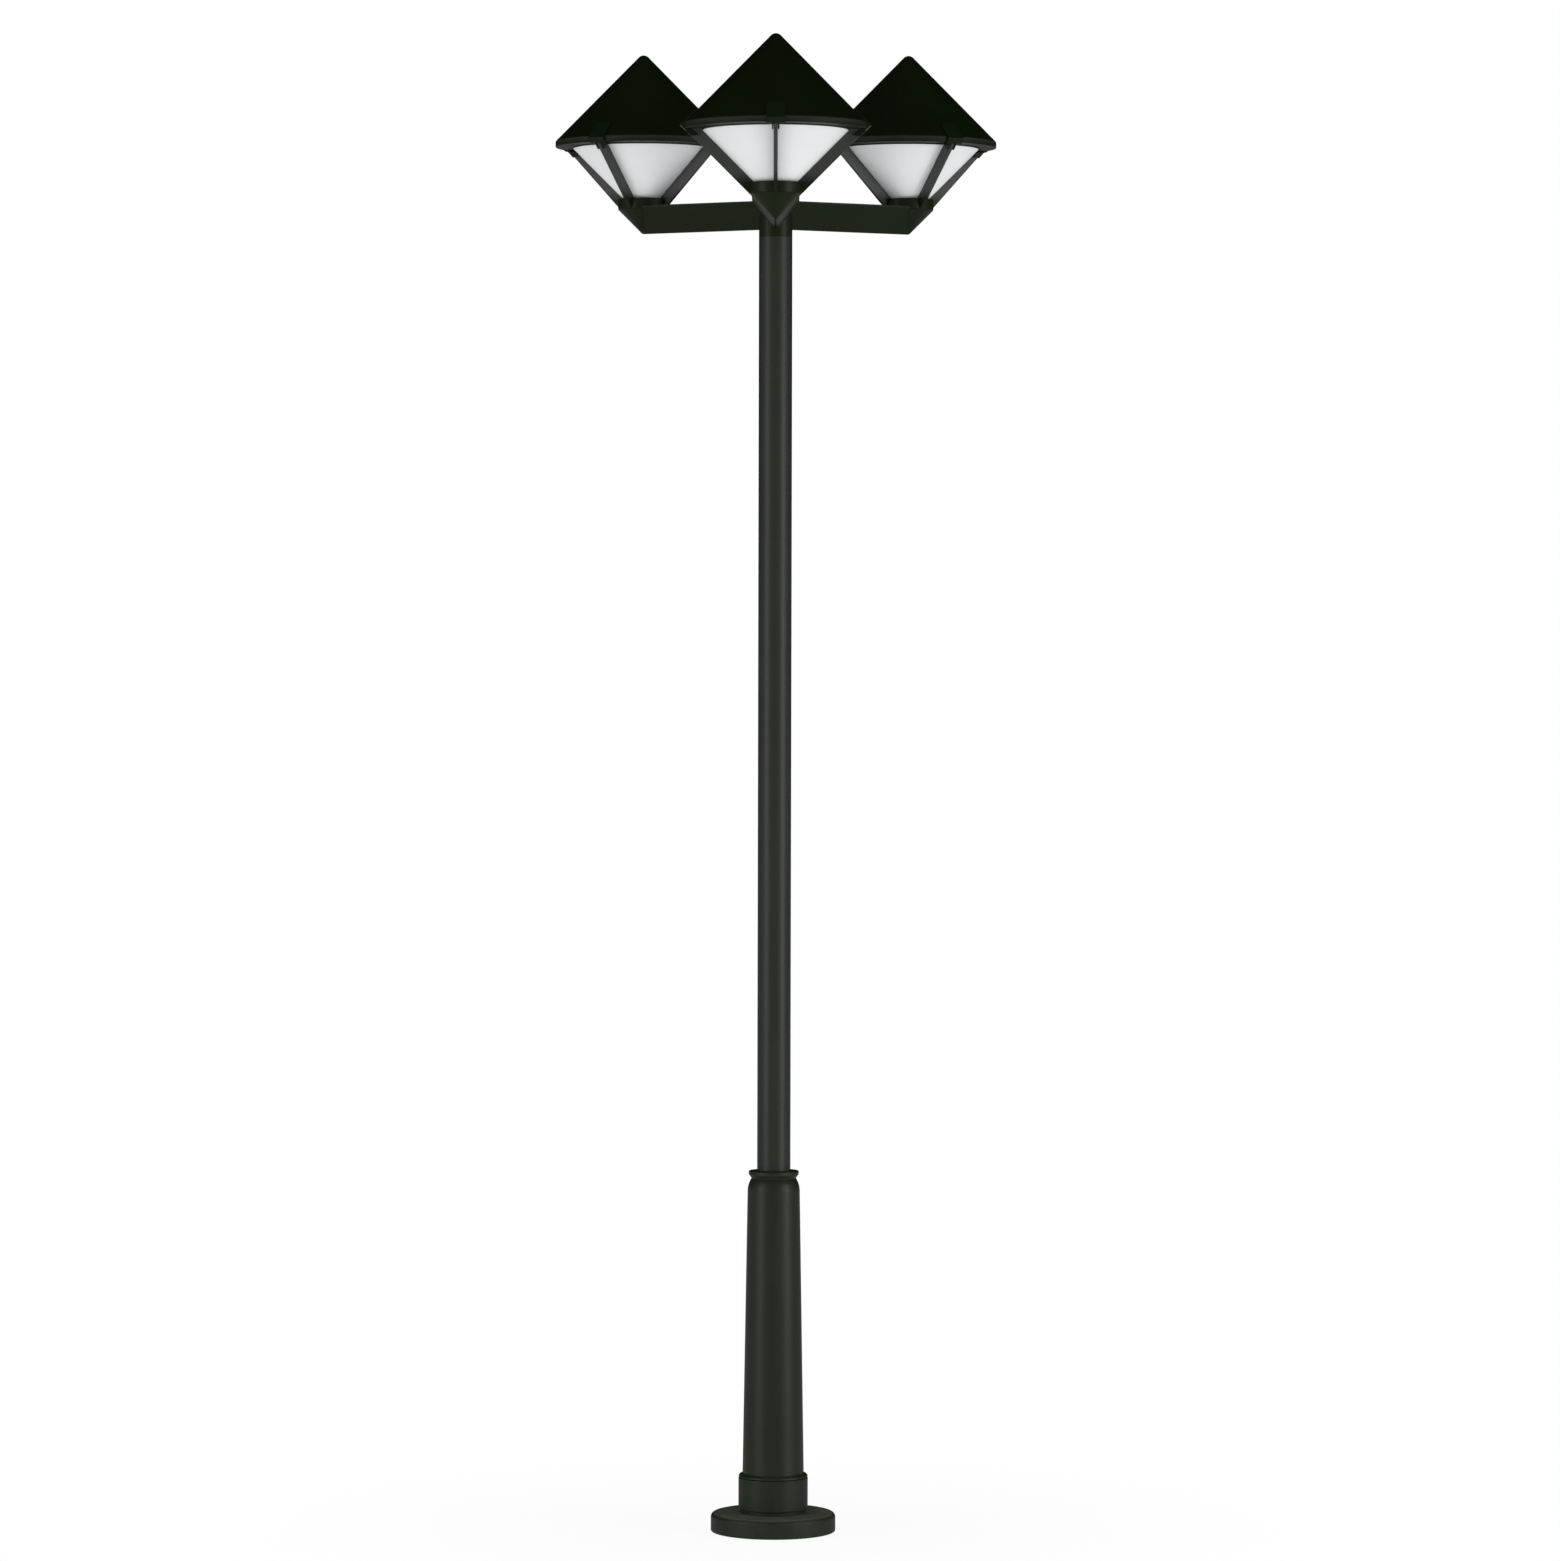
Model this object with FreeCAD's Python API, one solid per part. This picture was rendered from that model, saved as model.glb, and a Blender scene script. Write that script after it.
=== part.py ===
import FreeCAD, Part
import math
import os

# Triple head garden lamp post, in millimetres. The post stands on the ground at z = 0 with its
# axis on Z, and the front arm points along -Y. Three arms, 120 degrees apart, each carry a
# lantern: a conical cup, a cage of four fins, an opal diffuser and a conical roof that lifts off.

Vector = FreeCAD.Vector
origin = Vector(0, 0, 0)
up = Vector(0, 0, 1)

# Clearances
seat_gap = 0.2          # between pieces that rest on or against each other
moving_gap = 0.3        # between pieces that move apart
spigot_clearance = 0.06  # all round the head's spigot in the post tube
thread_gap = 0.1        # all round a screw in its hole

# Post tube
post_radius = 30.0
post_wall = 2.5
head_height = 2344.0    # lower edge of the arms above the ground

# Foot flange, a casting that is hollow underneath
flange_radius = 112.5
flange_height = 34.0
flange_top_rounding = 8.0
flange_bottom_rounding = 3.0
flange_skin = 10.0
flange_rim = 10.0
cable_hole_radius = 16.0
foot_floor = 12.0
socket_wall = 8.0
socket_top = 90.0
register_height = 4.0
bolt_circle_radius = 89.0
bolt_hole_radius = 5.5
bolt_boss_radius = 14.0
bolt_count = 4
rib_width = 8.0
foot_screw_radius = 4.0
foot_screw_height = 66.0
foot_screw_count = 3

# Cable bush in the foot, and the terminal block that stands above it
bush_bore_radius = 5.5
bush_lip = 2.5
bush_lip_height = 3.0
terminal_thickness = 18.0
terminal_height = 38.0
terminal_leg_height = 18.0
terminal_leg_width = 5.0
terminal_leg_depth = 8.0
riser_cable_radius = 5.0

# Base ring, shoulder ring, tapered sleeve and collar round the foot of the tube
base_ring_radius = 62.25
base_neck_radius = 58.0
base_neck_height = 11.0
base_ring_height = 50.0
base_ring_bore = 54.0
base_plate_thickness = 7.0
base_edge_rounding = 1.5
seam_gap = 0.8
shoulder_ring_radius = 62.0
shoulder_ring_height = 12.0
shoulder_ring_seat = 4.0
shoulder_rounding = 7.0
sleeve_bottom_radius = 55.0
sleeve_top_radius = 46.6
sleeve_neck_radius = 41.2
sleeve_length = 530.0
sleeve_shoulder_height = 13.0
sleeve_wall = 2.5
collar_lip_radius = 44.4
collar_neck_height = 8.0
collar_flare_height = 6.0
collar_lip_height = 5.0
collar_slope_height = 10.0
collar_top_width = 2.4
collar_spigot_wall = 7.5
collar_spigot_length = 30.0
collar_screw_radius = 2.5

# Head hub: a spigot in the tube below, a wiring chamber above
spigot_length = 70.0
spigot_bore_radius = 20.0
hub_skirt = 12.0
hub_floor_bottom = -6.0
hub_floor_top = 4.0
hub_wall = 5.0
hub_top_margin = 1.0
hub_groove_depth = 1.5
hub_groove_height = 8.0
head_screw_radius = 3.0
head_screw_depth_below = 32.0
head_screw_count = 3
hub_cap_thickness = 2.5
hub_cap_dome = 2.5
hub_cap_spigot = 5.0
cap_screw_radius = 1.5
cap_screw_head_radius = 2.2
cap_screw_length = 9.0
hub_block_radius = 12.0
hub_block_height = 34.0

# Arms, closed triangular tubes with the narrow edge down
arm_azimuths = {"front": -90.0, "right": 30.0, "left": 150.0}
arm_reach = 278.0
arm_top = 51.0
arm_half_width = 44.5
arm_edge_drop = 1.0     # sharp corner of the lower edge below head_height
arm_edge_rounding = 5.0
arm_corner_rounding = 2.0
arm_wall = 3.0
arm_cable_radius = 3.0
arm_cable_height = 28.0
arm_cable_bend = 17.0
grommet_flange = 2.0
grommet_wall = 1.8

# Lantern, measured from the point where its cup's cone would end
cup_rim_radius = 46.0
cup_tip_rounding = 4.0
cup_wall = 3.0
cage_ring_height = 24.0
cage_ring_bore = 34.0
fin_width = 18.0
fin_thickness = 6.5
fin_tip = 160.0
fins_per_lantern = 4
diffuser_wall = 3.0
diffuser_bottom = 63.0
diffuser_top = 160.6
gasket_thickness = 1.5
gasket_width = 6.0

# Roof
roof_radius = 160.0
roof_band = 8.5
roof_rise = 163.0
roof_tip_rounding = 12.5
roof_wall = 2.0
roof_opening_radius = 125.0
roof_corner_rounding = 2.0

# Clips on the roof's rim, each straddling the tip of a fin
clip_width = 32.0
clip_reach = 24.0
clip_thickness = 2.4
clip_corner_rounding = 11.0
clip_hook = 11.0
clip_fork_depth = 10.0
clip_fork_wall = 2.6
clip_fork_length = 13.0
lock_screw_radius = 1.5

# Lampholder, its plate and the lamp
plate_thickness = 2.0
plate_radius = 43.5
plate_hole_radius = 6.0
holder_radius = 20.0
holder_height = 40.0
holder_socket_radius = 13.8
holder_socket_depth = 27.0
holder_base_height = 14.0
holder_foot_height = 5.0
holder_foot_radius = 29.0
holder_screw_radius = 2.0
holder_screw_circle = 25.0
lamp_cap_radius = 13.4
lamp_neck_radius = 14.5
lamp_globe_radius = 29.0
lamp_length = 97.0

# Heights and radii that follow
tube_bore = post_radius - post_wall
socket_bore = post_radius + thread_gap
socket_radius = socket_bore + socket_wall
tube_bottom = foot_floor + seat_gap
tube_top = head_height - hub_skirt - moving_gap
base_bottom = flange_height + seat_gap
base_top = base_bottom + base_neck_height + base_ring_height
shoulder_bottom = base_top + seam_gap
shoulder_top = shoulder_bottom + shoulder_ring_height
sleeve_bottom = shoulder_bottom + shoulder_ring_seat + seat_gap
sleeve_top = sleeve_bottom + sleeve_length
collar_bottom = sleeve_top + seat_gap
collar_lip_bottom = collar_bottom + collar_neck_height + collar_flare_height
terminal_width = 2.0 * (cable_hole_radius + bush_lip + moving_gap + terminal_leg_width)
terminal_top = foot_floor + seat_gap + terminal_leg_height + terminal_height
diagonal = math.sqrt(2.0)
fin_run = fin_width * diagonal
diffuser_run = (fin_width + moving_gap) * diagonal
cage_bottom = cup_rim_radius + seat_gap
cage_top = cage_bottom + cage_ring_height
fin_start = arm_top + moving_gap
rim_height = diffuser_top + gasket_thickness + seat_gap + moving_gap
clip_bottom = fin_tip + moving_gap
holder_bottom = cage_bottom + plate_thickness + seat_gap
lamp_bottom = holder_bottom + holder_height - holder_socket_depth + moving_gap
lamp_cap_length = holder_socket_depth


def outline(corners):
    """A face in the XZ plane from corners given as (x, z) or (x, z, rounding)."""
    starts = []
    ends = []
    middles = []
    count = len(corners)
    for index, corner in enumerate(corners):
        here = Vector(corner[0], 0, corner[1])
        rounding = corner[2] if len(corner) > 2 else 0.0
        before = corners[index - 1]
        after = corners[(index + 1) % count]
        if rounding <= 0.0:
            starts.append(here)
            ends.append(here)
            middles.append(None)
            continue
        back = (Vector(before[0], 0, before[1]) - here).normalize()
        ahead = (Vector(after[0], 0, after[1]) - here).normalize()
        half = back.getAngle(ahead) / 2.0
        run = rounding / math.tan(half)
        centre = here + (back + ahead).normalize() * (rounding / math.sin(half))
        starts.append(here + back * run)
        ends.append(here + ahead * run)
        middles.append(centre + (here - centre).normalize() * rounding)
    edges = []
    for index in range(count):
        if middles[index] is not None:
            edges.append(Part.Arc(starts[index], middles[index], ends[index]).toShape())
        following = starts[(index + 1) % count]
        if ends[index].distanceToPoint(following) > 1e-6:
            edges.append(Part.LineSegment(ends[index], following).toShape())
    return Part.Face(Part.Wire(edges))


def turned(corners, angle=360.0):
    """A solid turned about the Z axis from an outline."""
    return outline(corners).revolve(origin, up, angle)


def rod(radius, start, end):
    """A round bar between two points."""
    along = end - start
    return Part.makeCylinder(radius, along.Length, start, along)


def around(shape, count, first=0.0):
    """Copies of a shape, evenly spaced about the Z axis."""
    copies = []
    for index in range(count):
        copy = shape.copy()
        copy.rotate(origin, up, first + index * 360.0 / count)
        copies.append(copy)
    return copies


def at_lantern(shape, azimuth):
    """Moves a piece from its lantern's own axis to its place on the head."""
    placed = shape.copy()
    placed.translate(Vector(arm_reach, 0, head_height))
    placed.rotate(origin, up, azimuth)
    return placed


def at_head(shape, azimuth=0.0):
    """Lifts a piece from the hub's own height to its place on the head."""
    placed = shape.copy()
    placed.translate(Vector(0, 0, head_height))
    placed.rotate(origin, up, azimuth)
    return placed


def socket_screw(radius, start, end):
    """A headless screw with a hexagonal socket in the end that faces the driver."""
    body = rod(radius, start, end)
    inward = (start - end).normalize()
    socket = Part.makeCylinder(radius * 0.5, radius, end, inward)
    return body.cut(socket)


# Foot

def foot_flange():
    body = turned([
        (cable_hole_radius, 0),
        (flange_radius, 0, flange_bottom_rounding),
        (flange_radius, flange_height, flange_top_rounding),
        (base_ring_bore - seat_gap, flange_height),
        (base_ring_bore - seat_gap, flange_height + register_height, 1.0),
        (socket_radius, flange_height + register_height, 3.0),
        (socket_radius, socket_top, 1.0),
        (socket_bore, socket_top),
        (socket_bore, foot_floor),
        (cable_hole_radius, foot_floor),
    ])
    pocket = turned([
        (socket_radius + flange_rim, -1.0),
        (flange_radius - flange_rim, -1.0),
        (flange_radius - flange_rim, flange_height - flange_skin, 4.0),
        (socket_radius + flange_rim, flange_height - flange_skin, 4.0),
    ])
    boss = Part.makeCylinder(bolt_boss_radius, flange_height)
    boss.translate(Vector(bolt_circle_radius, 0, -1.0))
    rib = Part.makeBox(flange_radius, rib_width, flange_height)
    rib.translate(Vector(0, -rib_width / 2.0, -1.0))
    web = boss.fuse(rib)
    spoke_angle = 180.0 / bolt_count
    for spoke in around(web, bolt_count, spoke_angle):
        pocket = pocket.cut(spoke)
    hole = rod(bolt_hole_radius, Vector(bolt_circle_radius, 0, -1.0), Vector(bolt_circle_radius, 0, flange_height + 1.0))
    body = body.cut(pocket)
    for bolt_hole in around(hole, bolt_count, spoke_angle):
        body = body.cut(bolt_hole)
    screw_hole = rod(foot_screw_radius + thread_gap, Vector(0, 0, foot_screw_height),
                     Vector(0, socket_radius + 1.0, foot_screw_height))
    for tapped in around(screw_hole, foot_screw_count):
        body = body.cut(tapped)
    return body


def foot_grub_screws():
    screw = socket_screw(foot_screw_radius, Vector(0, post_radius + seat_gap, foot_screw_height),
                         Vector(0, socket_radius, foot_screw_height))
    return Part.makeCompound(around(screw, foot_screw_count))


def cable_bush():
    body_radius = cable_hole_radius - seat_gap
    lip_bottom = foot_floor + seat_gap
    return turned([
        (bush_bore_radius, seat_gap),
        (body_radius, seat_gap, 1.0),
        (body_radius, lip_bottom),
        (cable_hole_radius + bush_lip, lip_bottom),
        (cable_hole_radius + bush_lip, lip_bottom + bush_lip_height, 1.0),
        (bush_bore_radius, lip_bottom + bush_lip_height),
    ])


def base_terminal():
    bottom = foot_floor + seat_gap
    body = Part.makeBox(terminal_width, terminal_thickness, terminal_height)
    body.translate(Vector(-terminal_width / 2.0, -terminal_thickness / 2.0, bottom + terminal_leg_height))
    body = body.makeFillet(1.5, [edge for edge in body.Edges if abs(edge.tangentAt(edge.FirstParameter).z) > 0.9])
    for side in (-1.0, 1.0):
        leg = Part.makeBox(terminal_leg_width, terminal_leg_depth, terminal_leg_height + 1.0)
        centre_x = side * (terminal_width - terminal_leg_width) / 2.0
        leg.translate(Vector(centre_x - terminal_leg_width / 2.0, -terminal_leg_depth / 2.0, bottom))
        body = body.fuse(leg)
    for side in (-1.0, 0.0, 1.0):
        screw_x = side * terminal_width / 3.4
        well = rod(terminal_thickness * 0.17, Vector(screw_x, -terminal_thickness, terminal_top - terminal_height * 0.3),
                   Vector(screw_x, -terminal_thickness * 0.2, terminal_top - terminal_height * 0.3))
        body = body.cut(well)
    return body


def post_tube():
    tube = turned([
        (tube_bore, tube_bottom),
        (post_radius, tube_bottom),
        (post_radius, tube_top),
        (tube_bore, tube_top),
    ])
    height = head_height - head_screw_depth_below
    hole = rod(head_screw_radius + thread_gap, Vector(0, tube_bore - 1.0, height), Vector(0, post_radius + 1.0, height))
    for tapped in around(hole, head_screw_count):
        tube = tube.cut(tapped)
    return tube


def head_grub_screws():
    height = head_height - head_screw_depth_below
    tip = tube_bore - spigot_clearance - hub_groove_depth + moving_gap
    screw = socket_screw(head_screw_radius, Vector(0, tip, height), Vector(0, post_radius - seat_gap, height))
    return Part.makeCompound(around(screw, head_screw_count))


def riser_cable():
    return rod(riser_cable_radius, Vector(0, 0, terminal_top + seat_gap),
               Vector(0, 0, head_height + hub_floor_top + hub_block_height / 3.0))


# Rings and sleeve round the foot

def base_ring():
    plate_bottom = base_top - base_plate_thickness
    return turned([
        (base_ring_bore, base_bottom),
        (base_neck_radius, base_bottom),
        (base_neck_radius, base_bottom + base_neck_height, 1.0),
        (base_ring_radius, base_bottom + base_neck_height, base_edge_rounding),
        (base_ring_radius, base_top, base_edge_rounding),
        (socket_radius + seat_gap, base_top),
        (socket_radius + seat_gap, plate_bottom),
        (base_ring_bore, plate_bottom, 3.0),
    ])


def shoulder_ring():
    return turned([
        (socket_radius + seat_gap, base_top + seat_gap),
        (base_ring_radius - 3.0 * base_edge_rounding, base_top + seat_gap),
        (base_ring_radius - 3.0 * base_edge_rounding, shoulder_bottom),
        (shoulder_ring_radius, shoulder_bottom, 0.8),
        (shoulder_ring_radius, shoulder_top - 1.0, shoulder_rounding - 1.5),
        (sleeve_bottom_radius + seat_gap, shoulder_top, 0.0),
        (sleeve_bottom_radius + seat_gap, shoulder_bottom + shoulder_ring_seat),
        (socket_radius + seat_gap, shoulder_bottom + shoulder_ring_seat),
    ])


def tapered_sleeve():
    wide_top = sleeve_top - sleeve_shoulder_height
    return turned([
        (sleeve_bottom_radius - sleeve_wall, sleeve_bottom),
        (sleeve_bottom_radius, sleeve_bottom),
        (sleeve_top_radius, wide_top, 7.0),
        (sleeve_neck_radius, sleeve_top, 0.6),
        (sleeve_neck_radius - sleeve_wall, sleeve_top),
        (sleeve_top_radius - sleeve_wall, wide_top, 6.0),
    ])


def collar_screw_hole(radius, inner, outer):
    height = collar_lip_bottom + collar_lip_height / 2.0
    return rod(radius, Vector(0, inner, height), Vector(0, outer, height))


def sleeve_collar():
    bore = post_radius + seat_gap
    spigot_radius = sleeve_neck_radius - sleeve_wall - seat_gap
    lip_top = collar_lip_bottom + collar_lip_height
    spigot_bottom = collar_bottom - collar_spigot_length
    body = turned([
        (bore, spigot_bottom),
        (spigot_radius, spigot_bottom, 1.0),
        (spigot_radius, collar_bottom),
        (sleeve_neck_radius, collar_bottom),
        (sleeve_neck_radius, collar_bottom + collar_neck_height - 3.0, 2.0),
        (collar_lip_radius, collar_lip_bottom, 1.0),
        (collar_lip_radius, lip_top, 1.5),
        (bore + collar_top_width, lip_top + collar_slope_height, 1.0),
        (bore, lip_top + collar_slope_height),
    ])
    return body.cut(collar_screw_hole(collar_screw_radius + thread_gap, 0.0, collar_lip_radius + 1.0))


def collar_grub_screw():
    height = collar_lip_bottom + collar_lip_height / 2.0
    return socket_screw(collar_screw_radius, Vector(0, post_radius + seat_gap, height),
                        Vector(0, collar_lip_radius - seat_gap, height))


# Head hub

def hub_core():
    spigot_radius = tube_bore - spigot_clearance
    groove_middle = -head_screw_depth_below
    groove_bottom = groove_middle - hub_groove_height / 2.0
    groove_top = groove_middle + hub_groove_height / 2.0
    groove_radius = spigot_radius - hub_groove_depth
    top = arm_top + hub_top_margin
    core = turned([
        (spigot_bore_radius, -hub_skirt - spigot_length),
        (spigot_radius, -hub_skirt - spigot_length, 1.5),
        (spigot_radius, groove_bottom),
        (groove_radius, groove_bottom),
        (groove_radius, groove_top),
        (spigot_radius, groove_top),
        (spigot_radius, -hub_skirt),
        (post_radius, -hub_skirt, 0.4),
        (post_radius, top),
        (post_radius - hub_wall, top),
        (post_radius - hub_wall, hub_floor_top, 2.0),
        (riser_cable_radius + moving_gap * 2.0, hub_floor_top),
        (riser_cable_radius + moving_gap * 2.0, hub_floor_bottom),
        (spigot_bore_radius, hub_floor_bottom, 2.0),
    ])
    for azimuth in arm_azimuths.values():
        hole = rod(arm_cable_radius + seat_gap * 2.0, Vector(post_radius / 2.0, 0, arm_cable_height),
                   Vector(post_radius + 1.0, 0, arm_cable_height))
        hole.rotate(origin, up, azimuth)
        core = core.cut(hole)
    screw_bottom = top + seat_gap + hub_cap_thickness - cap_screw_length - 1.0
    tapped = rod(cap_screw_radius + thread_gap, Vector(0, post_radius - hub_wall / 2.0, screw_bottom),
                 Vector(0, post_radius - hub_wall / 2.0, top + 1.0))
    for hole in around(tapped, len(arm_azimuths)):
        core = core.cut(hole)
    return at_head(core)


def cap_screw_bottom():
    return arm_top + hub_top_margin + seat_gap + hub_cap_thickness - cap_screw_length


def hub_cap():
    bottom = arm_top + hub_top_margin + seat_gap
    top = bottom + hub_cap_thickness
    spigot_radius = post_radius - hub_wall - seat_gap
    cap = turned([
        (0, bottom - hub_cap_spigot),
        (spigot_radius, bottom - hub_cap_spigot, 1.0),
        (spigot_radius, bottom),
        (post_radius, bottom),
        (post_radius, top, 1.0),
        (post_radius - hub_wall, top),
        (post_radius * 0.5, top + hub_cap_dome, 12.0),
        (0, top + hub_cap_dome),
    ])
    middle = post_radius - hub_wall / 2.0
    hole = rod(cap_screw_radius + thread_gap, Vector(0, middle, bottom - 1.0), Vector(0, middle, top + 2.0))
    head = Part.makeCone(cap_screw_radius + thread_gap, cap_screw_head_radius + thread_gap,
                         cap_screw_head_radius - cap_screw_radius,
                         Vector(0, middle, top - cap_screw_head_radius + cap_screw_radius))
    for opening in around(hole.fuse(head), len(arm_azimuths)):
        cap = cap.cut(opening)
    return at_head(cap)


def hub_cap_screws():
    top = arm_top + hub_top_margin + seat_gap + hub_cap_thickness
    middle = post_radius - hub_wall / 2.0
    sink = cap_screw_head_radius - cap_screw_radius
    screw = rod(cap_screw_radius, Vector(0, middle, cap_screw_bottom()), Vector(0, middle, top - sink))
    head = Part.makeCone(cap_screw_radius, cap_screw_head_radius, sink, Vector(0, middle, top - sink))
    return at_head(Part.makeCompound(around(screw.fuse(head), len(arm_azimuths))))


def hub_terminal():
    """A three way connector: one flat face towards each arm, and a bore for the riser cable."""
    sides = 2 * len(arm_azimuths)
    corner_radius = hub_block_radius / math.cos(math.pi / sides)
    points = []
    for index in range(sides + 1):
        angle = 2.0 * math.pi * (index + 0.5) / sides
        points.append(Vector(corner_radius * math.cos(angle), corner_radius * math.sin(angle), hub_floor_top + seat_gap))
    block = Part.Face(Part.makePolygon(points)).extrude(Vector(0, 0, hub_block_height))
    block.rotate(origin, up, arm_azimuths["right"])
    bore_top = hub_floor_top + hub_block_height / 3.0 + moving_gap
    bore = rod(riser_cable_radius + moving_gap, Vector(0, 0, hub_floor_top - 1.0), Vector(0, 0, bore_top))
    return at_head(block.cut(bore))


# Arms

def arm_section(inset):
    """The arm's triangular section in the YZ plane, drawn in by the given wall."""
    slant = math.atan2(arm_half_width, arm_top + arm_edge_drop)
    bottom = -arm_edge_drop + inset / math.sin(slant)
    top = arm_top - inset
    half = (top - bottom) * math.tan(slant)
    edge = max(arm_edge_rounding - inset, 0.0)
    corner = max(arm_corner_rounding - inset, 0.0)
    section = outline([(0, bottom, edge), (half, top, corner), (-half, top, corner)])
    section.rotate(origin, up, 90.0)
    return section


def arm(azimuth):
    tube = arm_section(0.0).extrude(Vector(arm_reach, 0, 0))
    hollow = arm_section(arm_wall).extrude(Vector(arm_reach, 0, 0))
    tube = tube.cut(hollow)
    # mitred against the neighbouring arms, on planes through the post's axis
    spread = math.radians(180.0 / len(arm_azimuths))
    far = 2.0 * arm_reach
    toe = seat_gap / math.sin(spread)
    wedge = Part.Face(Part.makePolygon([
        Vector(toe, 0, -arm_top),
        Vector(toe + far, -far * math.tan(spread), -arm_top),
        Vector(toe + far, far * math.tan(spread), -arm_top),
        Vector(toe, 0, -arm_top),
    ])).extrude(Vector(0, 0, 3.0 * arm_top))
    tube = tube.common(wedge)
    core = rod(post_radius + seat_gap, Vector(0, 0, -arm_top), Vector(0, 0, 2.0 * arm_top))
    tube = tube.cut(core)
    # coped round the lantern's cup and the ring above it
    cup = turned([
        (0, -seat_gap * diagonal),
        (cup_rim_radius + seat_gap, cup_rim_radius + seat_gap - seat_gap * diagonal),
        (cup_rim_radius + seat_gap, 2.0 * arm_top),
        (0, 2.0 * arm_top),
    ])
    cup.translate(Vector(arm_reach, 0, 0))
    return at_head(tube.cut(cup), azimuth)


def arm_cable(azimuth):
    """One cable from the hub's connector along the arm, turning up into the lampholder."""
    corner = Vector(arm_reach, 0, arm_cable_height)
    start = Vector(hub_block_radius + seat_gap, 0, arm_cable_height)
    before = corner - Vector(arm_cable_bend, 0, 0)
    after = corner + Vector(0, 0, arm_cable_bend)
    middle = corner + Vector(-arm_cable_bend, 0, arm_cable_bend)
    middle = middle + Vector(1, 0, -1).normalize() * arm_cable_bend
    end = Vector(arm_reach, 0, holder_bottom - seat_gap)
    path = Part.Wire([
        Part.LineSegment(start, before).toShape(),
        Part.Arc(before, middle, after).toShape(),
        Part.LineSegment(after, end).toShape(),
    ])
    ring = Part.Wire([Part.makeCircle(arm_cable_radius, start, Vector(1, 0, 0))])
    return at_head(path.makePipeShell([ring], True, False), azimuth)


def cup_hole(radius):
    """A round hole through the side of the cup that faces the post."""
    return rod(radius, Vector(-cup_rim_radius - 1.0, 0, arm_cable_height), Vector(0, 0, arm_cable_height))


def lamp_cup():
    inner = cup_wall * diagonal
    rim_inner = cup_rim_radius - inner
    cup = turned([
        (0, cup_tip_rounding * (diagonal - 1.0)),
        (cup_tip_rounding / diagonal, cup_tip_rounding / diagonal),
        (cup_rim_radius, cup_rim_radius),
        (rim_inner, cup_rim_radius),
        (0, inner),
    ])
    outer_hole = grommet_hole_radius() + seat_gap
    bore = rod(outer_hole, Vector(-cup_rim_radius, 0, arm_cable_height), Vector(-inner, 0, arm_cable_height))
    return cup.cut(bore)


def grommet_hole_radius():
    return arm_cable_radius + seat_gap + grommet_wall


def cable_grommets():
    """Sleeves of rubber that line the holes where the cables enter the cups."""
    radius = grommet_hole_radius()
    wall_outside = -arm_cable_height + radius
    wall_inside = -arm_cable_height + cup_wall * diagonal - radius
    length_out = wall_outside - grommet_flange - 2.0 * radius
    sleeve = rod(radius, Vector(length_out, 0, arm_cable_height), Vector(wall_inside + 2.0 * radius, 0, arm_cable_height))
    bore = rod(arm_cable_radius + seat_gap, Vector(length_out - 1.0, 0, arm_cable_height),
               Vector(0, 0, arm_cable_height))
    sleeve = sleeve.cut(bore)
    return Part.makeCompound([at_lantern(sleeve, azimuth) for azimuth in arm_azimuths.values()])


# Lantern

def fin():
    """One fin: a flat strip that rises outwards at 45 degrees, in the XZ plane."""
    root = cup_rim_radius - 1.0
    profile = outline([
        (root, fin_start),
        (fin_start, fin_start),
        (fin_tip, fin_tip),
        (fin_tip - fin_run, fin_tip),
        (root, root + fin_run),
    ])
    profile.translate(Vector(0, -fin_thickness / 2.0, 0))
    return profile.extrude(Vector(0, fin_thickness, 0))


def lamp_cage():
    seat_outer = cage_top - diffuser_run + moving_gap * diagonal
    seat_inner_height = cage_ring_bore + diffuser_run - moving_gap * diagonal
    ring = turned([
        (plate_radius + seat_gap, cage_bottom),
        (cup_rim_radius, cage_bottom, 1.0),
        (cup_rim_radius, cage_top, 1.0),
        (seat_outer, cage_top),
        (cage_ring_bore, seat_inner_height),
        (cage_ring_bore, cage_bottom + plate_thickness + seat_gap),
        (plate_radius + seat_gap, cage_bottom + plate_thickness + seat_gap),
    ])
    clear = turned([
        (0, diffuser_run - moving_gap * diagonal),
        (fin_tip, fin_tip + diffuser_run - moving_gap * diagonal),
        (0, fin_tip + diffuser_run),
    ])
    cage = ring
    for blade in around(fin().cut(clear), fins_per_lantern):
        cage = cage.fuse(blade)
    return cage.removeSplitter()


def diffuser():
    inner_run = diffuser_run + diffuser_wall * diagonal
    return turned([
        (diffuser_bottom - inner_run, diffuser_bottom),
        (diffuser_bottom - diffuser_run, diffuser_bottom),
        (diffuser_top - diffuser_run, diffuser_top),
        (diffuser_top - inner_run, diffuser_top),
    ])


def diffuser_gasket():
    outer = diffuser_top - diffuser_run
    bottom = diffuser_top + seat_gap
    return turned([
        (outer - gasket_width, bottom),
        (outer, bottom, 0.4),
        (outer, bottom + gasket_thickness, 0.4),
        (outer - gasket_width, bottom + gasket_thickness),
    ])


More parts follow.
